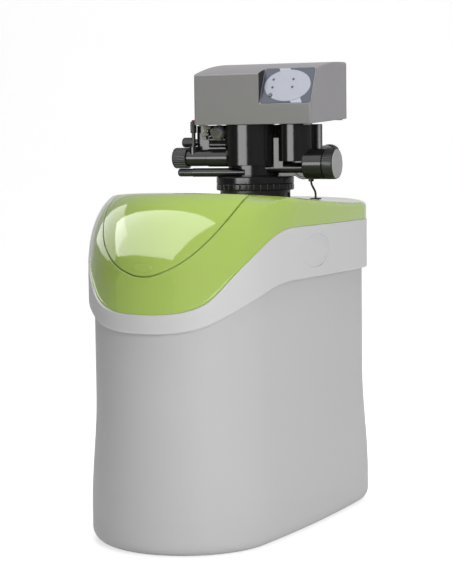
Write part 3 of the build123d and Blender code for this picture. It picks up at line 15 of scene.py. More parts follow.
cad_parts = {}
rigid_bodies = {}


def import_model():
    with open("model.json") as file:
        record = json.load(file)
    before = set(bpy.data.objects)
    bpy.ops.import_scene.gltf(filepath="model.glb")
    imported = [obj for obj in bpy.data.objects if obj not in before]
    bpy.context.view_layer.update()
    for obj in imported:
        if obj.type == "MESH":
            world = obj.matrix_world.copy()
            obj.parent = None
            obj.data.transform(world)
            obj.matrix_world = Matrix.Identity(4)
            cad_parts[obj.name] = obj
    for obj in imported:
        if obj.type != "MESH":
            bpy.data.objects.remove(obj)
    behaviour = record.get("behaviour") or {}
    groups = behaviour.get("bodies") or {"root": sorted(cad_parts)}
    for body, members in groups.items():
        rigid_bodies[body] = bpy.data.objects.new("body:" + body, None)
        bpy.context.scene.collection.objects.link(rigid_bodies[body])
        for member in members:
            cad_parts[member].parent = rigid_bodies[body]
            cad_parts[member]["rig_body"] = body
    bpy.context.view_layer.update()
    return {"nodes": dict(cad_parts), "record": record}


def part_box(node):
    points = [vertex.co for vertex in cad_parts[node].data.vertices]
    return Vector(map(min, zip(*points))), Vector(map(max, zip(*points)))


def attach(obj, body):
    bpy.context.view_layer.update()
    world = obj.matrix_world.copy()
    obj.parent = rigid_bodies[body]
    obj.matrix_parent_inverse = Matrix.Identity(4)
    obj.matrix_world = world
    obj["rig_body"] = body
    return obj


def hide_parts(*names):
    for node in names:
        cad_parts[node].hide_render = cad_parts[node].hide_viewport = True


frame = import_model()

nodes = frame["nodes"]
body_of_node = {name: solid["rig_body"] for name, solid in nodes.items()}
slot_of_node = {entry["node"]: entry["material_slot"] for entry in frame["record"]["subparts"]}

# %% [markdown]
# ## Camera
# The photograph was taken from a little above the cabinet's middle with a long lens, about 24
# degrees round to the right of the front. The camera is built from those angles, so it can be
# checked against them, and turned by the small roll that the picture shows.

# %% A helper for new objects
def put_in_scene(name, data):
    """New object in the scene's own collection."""
    thing = bpy.data.objects.new(name, data)
    bpy.context.scene.collection.objects.link(thing)
    return thing


print("objects go to", bpy.context.scene.collection.name)

# %% Make the camera
AZIMUTH, PITCH, ROLL = (math.radians(angle) for angle in (23.9, 5.0, 0.7))
DISTANCE, AIM_RIGHT, AIM_UP, LENS, SENSOR = 2.2188, 0.0055, 0.2933, 107.3, 36

back = Vector((
    math.sin(AZIMUTH) * math.cos(PITCH), -math.cos(AZIMUTH) * math.cos(PITCH), math.sin(PITCH)
))
right = Vector((math.cos(AZIMUTH), math.sin(AZIMUTH), 0))
away = (-math.sin(AZIMUTH), math.cos(AZIMUTH), 0)
up = back.cross(right)
picture_right = right * math.cos(ROLL) - up * math.sin(ROLL)
picture_up = right * math.sin(ROLL) + up * math.cos(ROLL)
camera_data = bpy.data.cameras.new("photo_camera")
camera_data.lens = LENS
camera_data.sensor_width = SENSOR
camera = put_in_scene("photo_camera", camera_data)
aim = right * AIM_RIGHT + Vector((0, 0, AIM_UP))
turned_view = Matrix((picture_right, picture_up, back)).transposed().to_4x4()
camera.matrix_world = Matrix.Translation(aim + back * DISTANCE) @ turned_view
bpy.context.scene.camera = camera
print("camera at", [round(value, 3) for value in camera.matrix_world.translation])

# %% [markdown]
# ## Studio
# The object stands on white paper that runs on behind it and curves up. In the photograph the
# paper is plain white, so part of its brightness is its own glow, which only the camera sees, and
# the rest is lit, so that the object still casts a soft shadow on it.

# %% Build the floor and its sweep
FLOOR_FRONT, FLOOR_BACK, FLOOR_SIDE = -6.0, 2.2, 9.0
CURVE_RADIUS, CURVE_STEPS = 1.6, 12


def smooth(mesh):
    """Shade all faces of a mesh smoothly."""
    for face in mesh.polygons:
        face.use_smooth = True


def make_sweep():
    """White floor that curves up behind the object."""
    mesh = bpy.data.meshes.new("studio_sweep")
    form = bmesh.new()
    profile = [(FLOOR_FRONT, 0.0), (FLOOR_BACK, 0.0)]
    for step in range(1, CURVE_STEPS + 1):
        angle = math.pi / 2 * step / CURVE_STEPS
        along = FLOOR_BACK + CURVE_RADIUS * math.sin(angle)
        profile.append((along, CURVE_RADIUS - CURVE_RADIUS * math.cos(angle)))
    rows = [[form.verts.new((side * FLOOR_SIDE, along, height)) for along, height in profile]
            for side in (-1, 1)]
    for near, far in zip(range(len(profile) - 1), range(1, len(profile))):
        form.faces.new((rows[0][near], rows[1][near], rows[1][far], rows[0][far]))
    turn = Matrix.Rotation(AZIMUTH, 3, "Z")
    bmesh.ops.rotate(form, verts=form.verts, cent=(0, 0, 0), matrix=turn)
    form.to_mesh(mesh)
    form.free()
    smooth(mesh)
    return put_in_scene("studio_sweep", mesh)


sweep = make_sweep()
print("floor faces", len(sweep.data.polygons))

# %% [markdown]
# The paper throws light back on the object. A level run of brightness makes it throw more from
# the right than from the left, as the photograph's bright long side and dark nose show. The world
# gets the same kind of run, for the reflections in the glossy pieces.

# %% Helpers for sockets and sums
def feed(tree, socket, value):
    """Give a socket a number or a colour, or link it to another socket."""
    if isinstance(value, bpy.types.NodeSocket):
        tree.links.new(value, socket)
    elif isinstance(value, tuple):
        socket.default_value = (*value, 1)
    else:
        socket.default_value = value


def math_node(tree, operation, first, second=0.0, clamp=False):
    """Result of a math node, whose inputs are sockets or numbers."""
    node = tree.nodes.new("ShaderNodeMath")
    node.operation = operation
    node.use_clamp = clamp
    feed(tree, node.inputs[0], first)
    feed(tree, node.inputs[1], second)
    return node.outputs[0]


print("sums ready")

# %% Runs of brightness
def place_on(tree, source="Object"):
    """Coordinates over the object, or over the world with Generated."""
    return tree.nodes.new("ShaderNodeTexCoord").outputs[source]


def run_across(tree, source, direction, near, far, low, high):
    """Value that runs from low to high along a level direction."""
    along = tree.nodes.new("ShaderNodeVectorMath")
    along.operation = "DOT_PRODUCT"
    along.inputs[1].default_value = direction
    ramp = tree.nodes.new("ShaderNodeMapRange")
    for label, value in (("From Min", near), ("From Max", far), ("To Min", low), ("To Max", high)):
        ramp.inputs[label].default_value = value
    tree.links.new(place_on(tree, source), along.inputs[0])
    tree.links.new(along.outputs["Value"], ramp.inputs["Value"])
    return ramp.outputs["Result"]


def chosen(tree, ray, otherwise, value):
    """One value for a kind of ray and another for the rest."""
    rays = tree.nodes.new("ShaderNodeLightPath")
    node = tree.nodes.new("ShaderNodeMix")
    tree.links.new(rays.outputs[ray], node.inputs["Factor"])
    feed(tree, node.inputs["A"], otherwise)
    feed(tree, node.inputs["B"], value)
    return node.outputs["Result"]


print("runs ready")

# %% Lay the paper
FLOOR_GLOW, FLOOR_TONE, FLOOR_TONE_RISE, FLOOR_NOISE = 0.62, 0.70, 1.03, 3.0
PAPER_ACROSS, PAPER_AWAY = (-2.0, 2.0, 0.05, 0.27), (1.2, 3.2, 0.0, 0.05)


def noise(tree, scale, detail=2.0):
    """Noise over the object, at a scale that is a number or a socket."""
    node = tree.nodes.new("ShaderNodeTexNoise")
    node.inputs["Detail"].default_value = detail
    feed(tree, node.inputs["Scale"], scale)
    tree.links.new(place_on(tree), node.inputs["Vector"])
    return node.outputs["Fac"]


paper = bpy.data.materials.new("white_paper")
paper.use_nodes = True
paper_tree = paper.node_tree
paper_shader = paper_tree.nodes["Principled BSDF"]
paper_shader.inputs["Roughness"].default_value = 0.9
paper_shader.inputs["Specular IOR Level"].default_value = 0.0
paper_shader.inputs["Emission Color"].default_value = (1, 1, 1, 1)
paper_tone = paper_tree.nodes.new("ShaderNodeValToRGB")
for stop, level in zip(paper_tone.color_ramp.elements, (FLOOR_TONE, FLOOR_TONE * FLOOR_TONE_RISE)):
    stop.color = (level, level, level, 1)
paper_tree.links.new(noise(paper_tree, FLOOR_NOISE), paper_tone.inputs["Fac"])
paper_tree.links.new(paper_tone.outputs["Color"], paper_shader.inputs["Base Color"])
paper_light = math_node(
    paper_tree, "ADD",
    run_across(paper_tree, "Object", right, *PAPER_ACROSS),
    run_across(paper_tree, "Object", away, *PAPER_AWAY),
)
paper_light = chosen(paper_tree, "Is Camera Ray", paper_light, FLOOR_GLOW)
paper_tree.links.new(paper_light, paper_shader.inputs["Emission Strength"])
sweep.data.materials.append(paper)
print("paper laid, glow", FLOOR_GLOW)

# %% [markdown]
# ## Lights
# Two panels give the shade: the key, a little to the right of the camera, and the sky above. Three
# give the sheen only: one the wide reflection on the lid, one the pale left shoulder, and one the
# tall bright lines on the black valve, which it lights alone. One light could do both, but then
# a reflection could not be moved without moving the shade too. No panel shows itself.

# %% A helper for soft light panels
def soft_panel(name, place, aim, width, height, brightness, part):
    """Rectangular soft light that gives the shade or the sheen, and never shows itself."""
    light = bpy.data.lights.new(name, "AREA")
    light.shape = "RECTANGLE"
    light.size, light.size_y = width, height
    light.energy = brightness * math.pi * width * height
    lamp = put_in_scene(name, light)
    lamp.location = place
    lamp.rotation_euler = (Vector(aim) - Vector(place)).to_track_quat("-Z", "Y").to_euler()
    lamp.visible_camera = False
    lamp.visible_diffuse = part != "sheen"
    lamp.visible_glossy = part != "shade"
    return lamp


def around(angle, distance, height):
    """Place at an angle to the right of the camera's own direction."""
    turned = AZIMUTH + math.radians(angle)
    return (math.sin(turned) * distance, -math.cos(turned) * distance, height)


print("panels can be hung")

# %% Hang the panels
# name, place, aim, width, height, brightness against white paper, what it gives
PANELS = (
    ("key_panel", around(20, 2.6, 0.9), (0, 0, 0.3), 1.4, 1.7, 4.9, "shade"),
    ("sky_panel", (0, 0.3, 2.9), (0, 0.1, 0), 2.6, 2.6, 3.2, "shade"),
    ("lid_sheen", (-1.15, -0.88, 1.62), (-1.01, -0.365, 0.436), 4.3, 2.07, 2.9, "sheen"),
    ("left_sheen", around(-121, 2.6, 1.4), (0, 0, 0.4), 2.5, 1.5, 1.15, "sheen"),
    ("valve_sheen", around(-40, 2.2, 0.4), (0, 0, 0.4), 1.7, 1.2, 11.0, "sheen"),
)
lamps = {panel[0]: soft_panel(*panel) for panel in PANELS}
black_pieces = bpy.data.collections.new("black_pieces")
for name in sorted(nodes):
    if slot_of_node[name] in {"black_gloss", "black_cap"}:
        black_pieces.objects.link(nodes[name])
lamps["valve_sheen"].light_linking.receiver_collection = black_pieces

# %% Fill the shadows from the world
WORLD_FILL, WORLD_SEEN = 0.14, 1.0
WORLD_ACROSS, WORLD_AWAY = (-1.0, 1.0, 0.12, 0.40), (0.3, 1.0, 0.0, 0.15)

world = bpy.data.worlds.new("studio_fill")
world.use_nodes = True
world_tree = world.node_tree
background = world_tree.nodes["Background"]
background.inputs["Color"].default_value = (1, 1, 1, 1)
world_light = math_node(
    world_tree, "ADD",
    run_across(world_tree, "Generated", right, *WORLD_ACROSS),
    run_across(world_tree, "Generated", away, *WORLD_AWAY),
)
world_light = chosen(world_tree, "Is Glossy Ray", WORLD_FILL, world_light)
world_light = chosen(world_tree, "Is Camera Ray", world_light, WORLD_SEEN)
world_tree.links.new(world_light, background.inputs["Strength"])
bpy.context.scene.world = world
bpy.context.scene.view_settings.view_transform = "Standard"
print("world fill", WORLD_FILL)

# %% [markdown]
# ## Effects that several finishes share
# Moulded plastic is never perfectly even: it has a fine grain, slow swells in its gloss, slightly
# polished edges and a little dust on what faces up. Each of these is a node group with its own
# values, built once here, so that every finish can use it at its own scale.

# %% Start a shader group
def shader_group(name, inputs, outputs):
    """Empty shader group with named sockets."""
    group = bpy.data.node_groups.new(name, "ShaderNodeTree")
    for label, kind, value in inputs:
        socket = group.interface.new_socket(label, in_out="INPUT", socket_type=kind)
        socket.default_value = value
    for label, kind in outputs:
        group.interface.new_socket(label, in_out="OUTPUT", socket_type=kind)
    return group, group.nodes.new("NodeGroupInput"), group.nodes.new("NodeGroupOutput")


print("groups can be started")

# %% Grain: a fine height and a slow tone
def make_grain_group():
    """Fine pebbled height with a slow, soft variation of tone."""
    group, given, result = shader_group(
        "moulded_grain",
        [("Grain Scale", "NodeSocketFloat", 900.0), ("Swell Scale", "NodeSocketFloat", 9.0)],
        [("Height", "NodeSocketFloat"), ("Tone", "NodeSocketFloat")],
    )
    fine = noise(group, given.outputs["Grain Scale"], detail=3.0)
    slow = noise(group, given.outputs["Swell Scale"])
    group.links.new(fine, result.inputs["Height"])
    group.links.new(slow, result.inputs["Tone"])
    return group


grain_group = make_grain_group()
print("group", grain_group.name)

# %% Edges: polished by hands and packing
EDGE_GAIN, EDGE_NOISE, EDGE_SAMPLES = 6.0, 140.0, 4


def facing(tree):
    """Direction that the surface faces."""
    return tree.nodes.new("ShaderNodeNewGeometry").outputs["Normal"]


def product(tree, first, second):
    """Product that stays between zero and one, as a mask has to."""
    return math_node(tree, "MULTIPLY", first, second, clamp=True)


def make_edge_group():
    """Mask that is strong along edges and broken up by a noise."""
    group, given, result = shader_group(
        "polished_edges",
        [("Width", "NodeSocketFloat", 0.0008), ("Amount", "NodeSocketFloat", 0.5)],
        [("Mask", "NodeSocketFloat"), ("Soft Normal", "NodeSocketVector")],
    )
    soft = group.nodes.new("ShaderNodeBevel")
    soft.samples = EDGE_SAMPLES
    turn_off = group.nodes.new("ShaderNodeVectorMath")
    turn_off.operation = "DOT_PRODUCT"
    group.links.new(given.outputs["Width"], soft.inputs["Radius"])
    group.links.new(soft.outputs["Normal"], turn_off.inputs[0])
    group.links.new(facing(group), turn_off.inputs[1])
    bent = math_node(group, "SUBTRACT", 1.0, turn_off.outputs["Value"])
    patchy = product(group, product(group, bent, EDGE_GAIN), noise(group, EDGE_NOISE))
    mask = product(group, patchy, given.outputs["Amount"])
    group.links.new(mask, result.inputs["Mask"])
    group.links.new(soft.outputs["Normal"], result.inputs["Soft Normal"])
    return group


edge_group = make_edge_group()
print("group", edge_group.name)

# %% Dust: a breath of it on what faces up
DUST_NOISE, DUST_DETAIL = 420.0, 4.0


def axes_of(tree, vector):
    """X, Y and Z of a vector socket, by name."""
    node = tree.nodes.new("ShaderNodeSeparateXYZ")
    tree.links.new(vector, node.inputs[0])
    return node.outputs


def make_dust_group():
    """Mask of fine dust on upward faces."""
    group, given, result = shader_group(
        "settled_dust", [("Amount", "NodeSocketFloat", 0.1)], [("Mask", "NodeSocketFloat")]
    )
    upward = axes_of(group, facing(group))["Z"]
    level = product(group, upward, noise(group, DUST_NOISE, DUST_DETAIL))
    group.links.new(product(group, level, given.outputs["Amount"]), result.inputs["Mask"])
    return group


dust_group = make_dust_group()
print("group", dust_group.name)

# %% [markdown]
# ## Finishes
# All plastics follow one recipe with their own numbers: a base colour that swells slightly in
# tone, edges a little lighter or darker, a breath of dust, and a roughness that varies with the
# grain. Glossy parts have a coat and almost no grain, satin ones a visible pebbled surface.

# %% The plastic recipe
MIX_FIRST, MIX_SECOND, MIX_RESULT = 6, 7, 2
COAT_ROUGHNESS, WORN_LIFT, DUST_COLOUR = 0.04, 0.02, (0.62, 0.61, 0.59)


def mixed(tree, factor, first, second):
    """Colour mix of two colours or sockets."""
    node = tree.nodes.new("ShaderNodeMix")
    node.data_type = "RGBA"
    tree.links.new(factor, node.inputs["Factor"])
    feed(tree, node.inputs[MIX_FIRST], first)
    feed(tree, node.inputs[MIX_SECOND], second)
    return node.outputs[MIX_RESULT]


def place_group(tree, group, **values):
    """Put a shared group into a material with its own values."""
    node = tree.nodes.new("ShaderNodeGroup")
    node.node_tree = group
    for label, value in values.items():
        node.inputs[label.replace("_", " ").title()].default_value = value
    return node


def plastic(name, colour, roughness, coat=0.0, grain=900.0, depth=0.00002, tone=0.06, dust=0.05,
            swell=9.0, edge=0.4, width=0.0008, metallic=0.0, spread=0.12, specular=0.5,
            rubbed=1.25):
    """Moulded plastic with grain, worn edges and dust."""
    material = bpy.data.materials.new(name)
    material.use_nodes = True
    tree = material.node_tree
    shader = tree.nodes["Principled BSDF"]
    shader.inputs["Coat Weight"].default_value = coat
    shader.inputs["Coat Roughness"].default_value = COAT_ROUGHNESS
    shader.inputs["Metallic"].default_value = metallic
    shader.inputs["Specular IOR Level"].default_value = specular
    surface = place_group(tree, grain_group, grain_scale=grain, swell_scale=swell)
    edges = place_group(tree, edge_group, width=width, amount=edge)
    settled = place_group(tree, dust_group, amount=dust)
    lift = WORN_LIFT if rubbed > 1 else 0.0
    darker = tuple(channel * (1 - tone) for channel in colour)
    lighter = tuple(min(1.0, channel * (1 + tone)) for channel in colour)
    worn = tuple(min(1.0, channel * rubbed + lift) for channel in colour)
    base = mixed(tree, surface.outputs["Tone"], darker, lighter)
    base = mixed(tree, edges.outputs["Mask"], base, worn)
    base = mixed(tree, settled.outputs["Mask"], base, DUST_COLOUR)
    tree.links.new(base, shader.inputs["Base Color"])
    spread_out = tree.nodes.new("ShaderNodeMapRange")
    spread_out.inputs["To Min"].default_value = roughness * (1 - spread)
    spread_out.inputs["To Max"].default_value = roughness * (1 + spread)
    tree.links.new(surface.outputs["Tone"], spread_out.inputs["Value"])
    tree.links.new(spread_out.outputs["Result"], shader.inputs["Roughness"])
    bump = tree.nodes.new("ShaderNodeBump")
    bump.inputs["Distance"].default_value = depth
    bump.inputs["Strength"].default_value = 1.0
    tree.links.new(surface.outputs["Height"], bump.inputs["Height"])
    tree.links.new(edges.outputs["Soft Normal"], bump.inputs["Normal"])
    tree.links.new(bump.outputs["Normal"], shader.inputs["Normal"])
    return material


finish = {}


def make_finishes(rows):
    """Make a finish for each row: its slot, name, colour, roughness and what else it needs."""
    for slot, name, colour, roughness, more in rows:
        finish[slot] = plastic(name, colour, roughness, **more)
    print("finishes", len(finish))


print("recipe ready")

# %% [markdown]
# The tub and its rim are the same light grey plastic, the rim a little paler and smoother.
# The hood is gloss green: a coat over the colour gives the sharp reflections, and the colour
# below stays soft. Their grain is fine, because the mould was polished or finely etched.

# %% Finishes of the cabinet
make_finishes((
    ("grey_shell", "tub_grey", (0.53, 0.53, 0.532), 0.42,
     dict(grain=1100, depth=0.00003, tone=0.02)),
    ("rim_grey", "rim_grey", (0.612, 0.612, 0.616), 0.36,
     dict(grain=1100, depth=0.00002, tone=0.015)),
    ("green_gloss", "hood_green", (0.395, 0.545, 0.105), 0.10,
     dict(coat=1.0, grain=60, depth=0.00001, tone=0.02, dust=0.005, width=0.0016)),
))

# %% [markdown]
# The valve is black and smooth, so it shows by its reflections alone, and its caps are duller.
# The head's cover is a mid grey with a fine etched grain and dark edges. The panel and its
# oval are thin films, so they have almost no grain.

# %% Finishes of the valve and the head
make_finishes((
    ("black_gloss", "valve_black", (0.010, 0.010, 0.011), 0.16,
     dict(grain=300, depth=0.00002, dust=0.01, specular=0.3)),
    ("black_cap", "cap_black", (0.014, 0.014, 0.015), 0.30,
     dict(grain=700, depth=0.00003, dust=0.02, specular=0.35)),
    ("disc_grey", "disc_grey", (0.33, 0.33, 0.33), 0.5, dict(grain=900, tone=0.03)),
    ("cover_grey", "cover_grey", (0.277, 0.267, 0.283), 0.32,
     dict(grain=1500, depth=0.00004, tone=0.03, edge=1.5, width=0.0014, rubbed=0.2)),
    ("panel_print", "panel_film", (0.03, 0.042, 0.075), 0.3, dict(grain=2000, tone=0.08, swell=60)),
    ("oval_print", "oval_film", (0.40, 0.42, 0.50), 0.32, dict(grain=2000, tone=0.02)),
    ("led_lens", "lamp_lens", (0.03, 0.022, 0.022), 0.15, dict(coat=0.6, grain=400)),
    ("button", "button_grey", (0.10, 0.11, 0.14), 0.35, dict(grain=900)),
    ("white_plastic", "fitting_white", (0.30, 0.29, 0.30), 0.35, dict(grain=900)),
    ("red_tip", "tip_red", (0.45, 0.03, 0.06), 0.35, dict(grain=900)),
    ("lead_rubber", "lead_black", (0.02, 0.02, 0.02), 0.5, dict(grain=1500)),
    ("steel", "plated_steel", (0.55, 0.55, 0.54), 0.32,
     dict(grain=1600, metallic=1.0, depth=0.00001)),
))

# %% [markdown]
# Two places are coloured by where they are. A pale band leans across the control panel behind the
# oval, and the wall of the cut beside the panel is painted dark: painted shade standing in for the
# shade it lies in.

# %% A colour laid over another
def overlay(material, mask, colour):
    """Lay a colour over a material's base colour where the mask says."""
    tree = material.node_tree
    shader = tree.nodes["Principled BSDF"]
    below = shader.inputs["Base Color"].links[0].from_socket
    tree.links.new(mixed(tree, mask, below, colour), shader.inputs["Base Color"])


def leaning_band(tree, middle, lean, half):
    """Mask of a band in the front: its middle at height zero, its lean and half its width."""
    axes = axes_of(tree, place_on(tree))
    leant = math_node(tree, "MULTIPLY", axes["Z"], lean)
    off = math_node(tree, "SUBTRACT", axes["X"], math_node(tree, "ADD", leant, middle))
    return math_node(tree, "LESS_THAN", math_node(tree, "ABSOLUTE", off), half)


print("overlay ready")

# %% The control panel's pale band
BAND_FOOT_SHARE, BAND_HEAD_SHARE, BAND_WIDTH_SHARE = 0.73, 0.39, 0.22
BAND_COLOUR = (0.46, 0.49, 0.58)

plate_low, plate_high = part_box("panel_plate")
plate_wide, plate_tall = plate_high[0] - plate_low[0], plate_high[2] - plate_low[2]
band_lean = (BAND_HEAD_SHARE - BAND_FOOT_SHARE) * plate_wide / plate_tall
band_middle = plate_low[0] + BAND_FOOT_SHARE * plate_wide - band_lean * plate_low[2]
band_half = BAND_WIDTH_SHARE * plate_wide / 2
panel_film = finish["panel_print"]
band = leaning_band(panel_film.node_tree, band_middle, band_lean, band_half)
overlay(panel_film, band, BAND_COLOUR)
print("band leans", round(band_lean, 3))

# %% Painted shade on the wall of the cover's cut beside the panel
CUT_FACING, CUT_REACH, CUT_PAINTED_SHADE = 0.6, 0.012, (0.02, 0.019, 0.017)

cut_end = plate_low[0] + CUT_REACH
cover_tree = finish["cover_grey"].node_tree
# Painted shade: the wall of the cut that faces the panel is coloured dark for the shade it lies in.
cut_painted_shade_mask = math_node(
    cover_tree, "MULTIPLY",
    math_node(cover_tree, "GREATER_THAN", axes_of(cover_tree, facing(cover_tree))["X"], CUT_FACING),
    math_node(cover_tree, "LESS_THAN", axes_of(cover_tree, place_on(cover_tree))["X"], cut_end),
)
overlay(finish["cover_grey"], cut_painted_shade_mask, CUT_PAINTED_SHADE)
print("cut shaded left of", round(cut_end, 4))

# %% [markdown]
# The inside shows when the lid is open, the cover is off or a cap is pulled, so its pieces get
# finishes of their own as well.

# %% Finishes of what is inside
make_finishes((
    ("vessel_wound", "vessel_blue", (0.03, 0.11, 0.24), 0.4,
     dict(grain=260, depth=0.0002, tone=0.2)),
    ("foot_black", "boot_black", (0.02, 0.02, 0.02), 0.55, dict(grain=500, depth=0.0001)),
    ("resin", "resin_amber", (0.36, 0.17, 0.04), 0.3,
     dict(grain=1400, depth=0.0004, tone=0.3, swell=300)),
    ("tube_white", "pipe_white", (0.70, 0.70, 0.68), 0.35, dict(grain=700)),
    ("seal_rubber", "seal_black", (0.015, 0.015, 0.015), 0.6, dict(grain=900)),
    ("gear_white", "gear_cream", (0.72, 0.70, 0.62), 0.4, dict(grain=1200)),
    ("board", "board_green", (0.02, 0.13, 0.05), 0.3,
     dict(coat=0.4, grain=1800, tone=0.2, swell=200)),
    ("float_white", "float_white", (0.70, 0.70, 0.68), 0.6, dict(grain=350, depth=0.0002)),
))

# %% The clear cap
CLEAR_SHARE, CLEAR_BEND, SMOKE = 0.4, 1.49, (0.20, 0.19, 0.21)


def clear_plastic(name):
    """Smoky clear plastic that shows what is behind it."""
    material = plastic(name, SMOKE, 0.18, coat=0.2, grain=200, depth=0.00008, dust=0.02)
    shader = material.node_tree.nodes["Principled BSDF"]
    shader.inputs["Transmission Weight"].default_value = CLEAR_SHARE
    shader.inputs["IOR"].default_value = CLEAR_BEND
    return material


finish["clear_cap"] = clear_plastic("clear_dome")
print("slots without a finish", sorted(set(slot_of_node.values()) - set(finish)))

# %% [markdown]
# ## Dress the solids
# The solids already have the right shape, and their meshes carry the true normals of the curved
# faces, so they are kept as they are. Each one only gets the finish that its slot names.

# %% Give every solid its finish
for name, solid in nodes.items():
    for place in solid.material_slots:
        place.material = finish[slot_of_node[name]]
print("dressed", len(nodes))

# %% [markdown]
# ## Soften the hood's shoulder
# On the real hood the rounded front flows into the straight side wall with no line between them.
# The solid has a slight fold there. A copy of the hood keeps its shape, but near the fold its
# normals are turned towards the mean of both sides, which is how a moulder's blend looks. A bevel
# would do it too, but it would also round the seam along the rim, which has to stay crisp.

# %% Find the fold
FOLD_LEAST, FOLD_MOST, FOLD_REACH = math.radians(12), math.radians(50), 0.036
SHOULDER_SIDE, SHOULDER_BACK, LOOKS_DOWN = 0.09, -0.05, -0.05

hood_mesh = nodes["hood"].data
normals_at = {}
for corner, shown in zip(hood_mesh.loops, hood_mesh.corner_normals):
    spot = tuple(round(value, 6) for value in hood_mesh.vertices[corner.vertex_index].co)
    normals_at.setdefault(spot, []).append(shown.vector.copy())
fold = []
for spot, found in normals_at.items():
    outward = [normal for normal in found if normal.z > LOOKS_DOWN and normal.x * spot[0] > 0]
    if abs(spot[0]) < SHOULDER_SIDE or spot[1] > SHOULDER_BACK or len(outward) < 2:
        continue
    first = outward[0]
    furthest = max(outward, key=first.angle)
    if FOLD_LEAST < first.angle(furthest) < FOLD_MOST:
        fold.append((Vector(spot), (first + furthest).normalized()))
print("fold points", len(fold))

# %% Merge a copy of the hood
hood_copy = hood_mesh.copy()
joined = bmesh.new()
joined.from_mesh(hood_copy)
bmesh.ops.remove_doubles(joined, verts=joined.verts, dist=1e-7)
joined.to_mesh(hood_copy)
joined.free()
smooth(hood_copy)
assert len(hood_copy.loops) == len(hood_mesh.loops), "the merge took a face away"
print("hood points", len(hood_mesh.vertices), "merged to", len(hood_copy.vertices))

# %% Turn the normals near the fold
fold_tree = KDTree(len(fold))
for index, (spot, mean) in enumerate(fold):
    fold_tree.insert(spot, index)
fold_tree.balance()
turned_normals = []
for corner, shown in zip(hood_mesh.loops, hood_mesh.corner_normals):
    normal = shown.vector.copy()
    _, index, distance = fold_tree.find(hood_mesh.vertices[corner.vertex_index].co)
    mean = fold[index][1]
    if distance < FOLD_REACH and normal.angle(mean) < FOLD_MOST:
        share = distance / FOLD_REACH
        share = share * share * (3 - 2 * share)
        normal = (normal * share + mean * (1 - share)).normalized()
    turned_normals.append(normal)
hood_copy.normals_split_custom_set(turned_normals)
hood_look = put_in_scene("hood_look", hood_copy)
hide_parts("hood")
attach(hood_look, body_of_node["hood"])
print("normals set", len(turned_normals))

# %% [markdown]
# ## Ribs round the caps
# Each cap has a ring of fine ribs for the fingers, and all of them are alike. One small node tree
# makes a ring: a circle of points, and on every point a thin round bar along the cap. They could
# be drawn one by one, but the tree makes each ring from five values that are easy to change.

# %% The node tree that makes a ring of ribs
RIB_SIDES = 8
RIB_INPUTS = {
    "Radius": "NodeSocketFloat", "Length": "NodeSocketFloat", "Thickness": "NodeSocketFloat",
    "Count": "NodeSocketInt", "Finish": "NodeSocketMaterial",
}

rib_tree = bpy.data.node_groups.new("ring_of_ribs", "GeometryNodeTree")
rib_ids = {
    label: rib_tree.interface.new_socket(label, in_out="INPUT", socket_type=kind).identifier
    for label, kind in RIB_INPUTS.items()
}
rib_tree.interface.new_socket("Geometry", in_out="OUTPUT", socket_type="NodeSocketGeometry")
given = rib_tree.nodes.new("NodeGroupInput").outputs
result = rib_tree.nodes.new("NodeGroupOutput")
ring = rib_tree.nodes.new("GeometryNodeMeshCircle")
line = rib_tree.nodes.new("GeometryNodeCurvePrimitiveLine")
section = rib_tree.nodes.new("GeometryNodeCurvePrimitiveCircle")
section.inputs["Resolution"].default_value = RIB_SIDES
bar = rib_tree.nodes.new("GeometryNodeCurveToMesh")
bar.inputs["Fill Caps"].default_value = True
spread_round = rib_tree.nodes.new("GeometryNodeInstanceOnPoints")
real = rib_tree.nodes.new("GeometryNodeRealizeInstances")
dressed = rib_tree.nodes.new("GeometryNodeSetMaterial")
for end, share in (("Start", -0.5), ("End", 0.5)):
    upright = rib_tree.nodes.new("ShaderNodeCombineXYZ")
    half_length = math_node(rib_tree, "MULTIPLY", given["Length"], share)
    rib_tree.links.new(half_length, upright.inputs["Z"])
    rib_tree.links.new(upright.outputs[0], line.inputs[end])
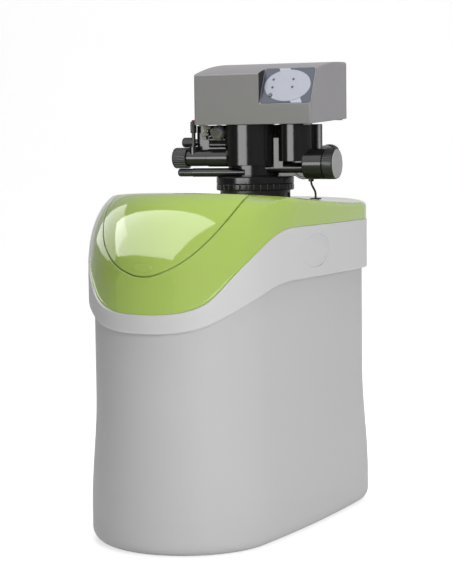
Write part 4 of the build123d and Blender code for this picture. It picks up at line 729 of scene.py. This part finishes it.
for source, target in (
    (given["Count"], ring.inputs["Vertices"]),
    (given["Radius"], ring.inputs["Radius"]),
    (given["Thickness"], section.inputs["Radius"]),
    (line.outputs["Curve"], bar.inputs["Curve"]),
    (section.outputs["Curve"], bar.inputs["Profile Curve"]),
    (ring.outputs["Mesh"], spread_round.inputs["Points"]),
    (bar.outputs["Mesh"], spread_round.inputs["Instance"]),
    (spread_round.outputs["Instances"], real.inputs["Geometry"]),
    (real.outputs["Geometry"], dressed.inputs["Geometry"]),
    (given["Finish"], dressed.inputs["Material"]),
    (dressed.outputs["Geometry"], result.inputs["Geometry"]),
):
    rib_tree.links.new(source, target)
print("rib tree nodes", len(rib_tree.nodes))

# %% Put a ring on each cap
RIB_THICKNESS, RIB_END = 0.0005, 0.0018


def ribs_on(cap, axis, side, radius, length, count):
    """Ring of ribs round a cap, along an axis, with the cap's face on one side of it."""
    maker = put_in_scene(cap + "_ribs_maker", bpy.data.meshes.new(cap + "_ribs_maker"))
    ribs = maker.modifiers.new("ribs", "NODES")
    ribs.node_group = rib_tree
    facts = {
        "Radius": radius, "Length": length - 2 * RIB_END, "Thickness": RIB_THICKNESS,
        "Count": count, "Finish": finish["black_cap"],
    }
    for label, value in facts.items():
        ribs[rib_ids[label]] = value
    evaluated = maker.evaluated_get(bpy.context.evaluated_depsgraph_get())
    shape = bpy.data.meshes.new_from_object(evaluated)
    maker.modifiers.remove(ribs)
    bpy.data.objects.remove(maker)
    low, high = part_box(cap)
    middle = (Vector(low) + Vector(high)) / 2
    middle[axis] = (high if side > 0 else low)[axis] - side * length / 2
    outward = Vector([side * (index == axis) for index in range(3)])
    turn = Vector((0, 0, 1)).rotation_difference(outward).to_matrix().to_4x4()
    shape.transform(Matrix.Translation(middle) @ turn)
    smooth(shape)
    piece = put_in_scene(cap + "_ribs", shape)
    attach(piece, body_of_node[cap])
    return len(shape.polygons)


# cap: axis, side its face looks to, radius, bare length, number of ribs
RINGS = {
    "outlet_cap": (0, 1, 0.0193, 0.015, 48),
    "inlet_cap": (1, 1, 0.0125, 0.015, 32),
    "service_cap": (0, -1, 0.0061, 0.0165, 16),
    "brine_cap": (0, -1, 0.0048, 0.021, 14),
}
print("rib faces", {cap: ribs_on(cap, *values) for cap, values in RINGS.items()})
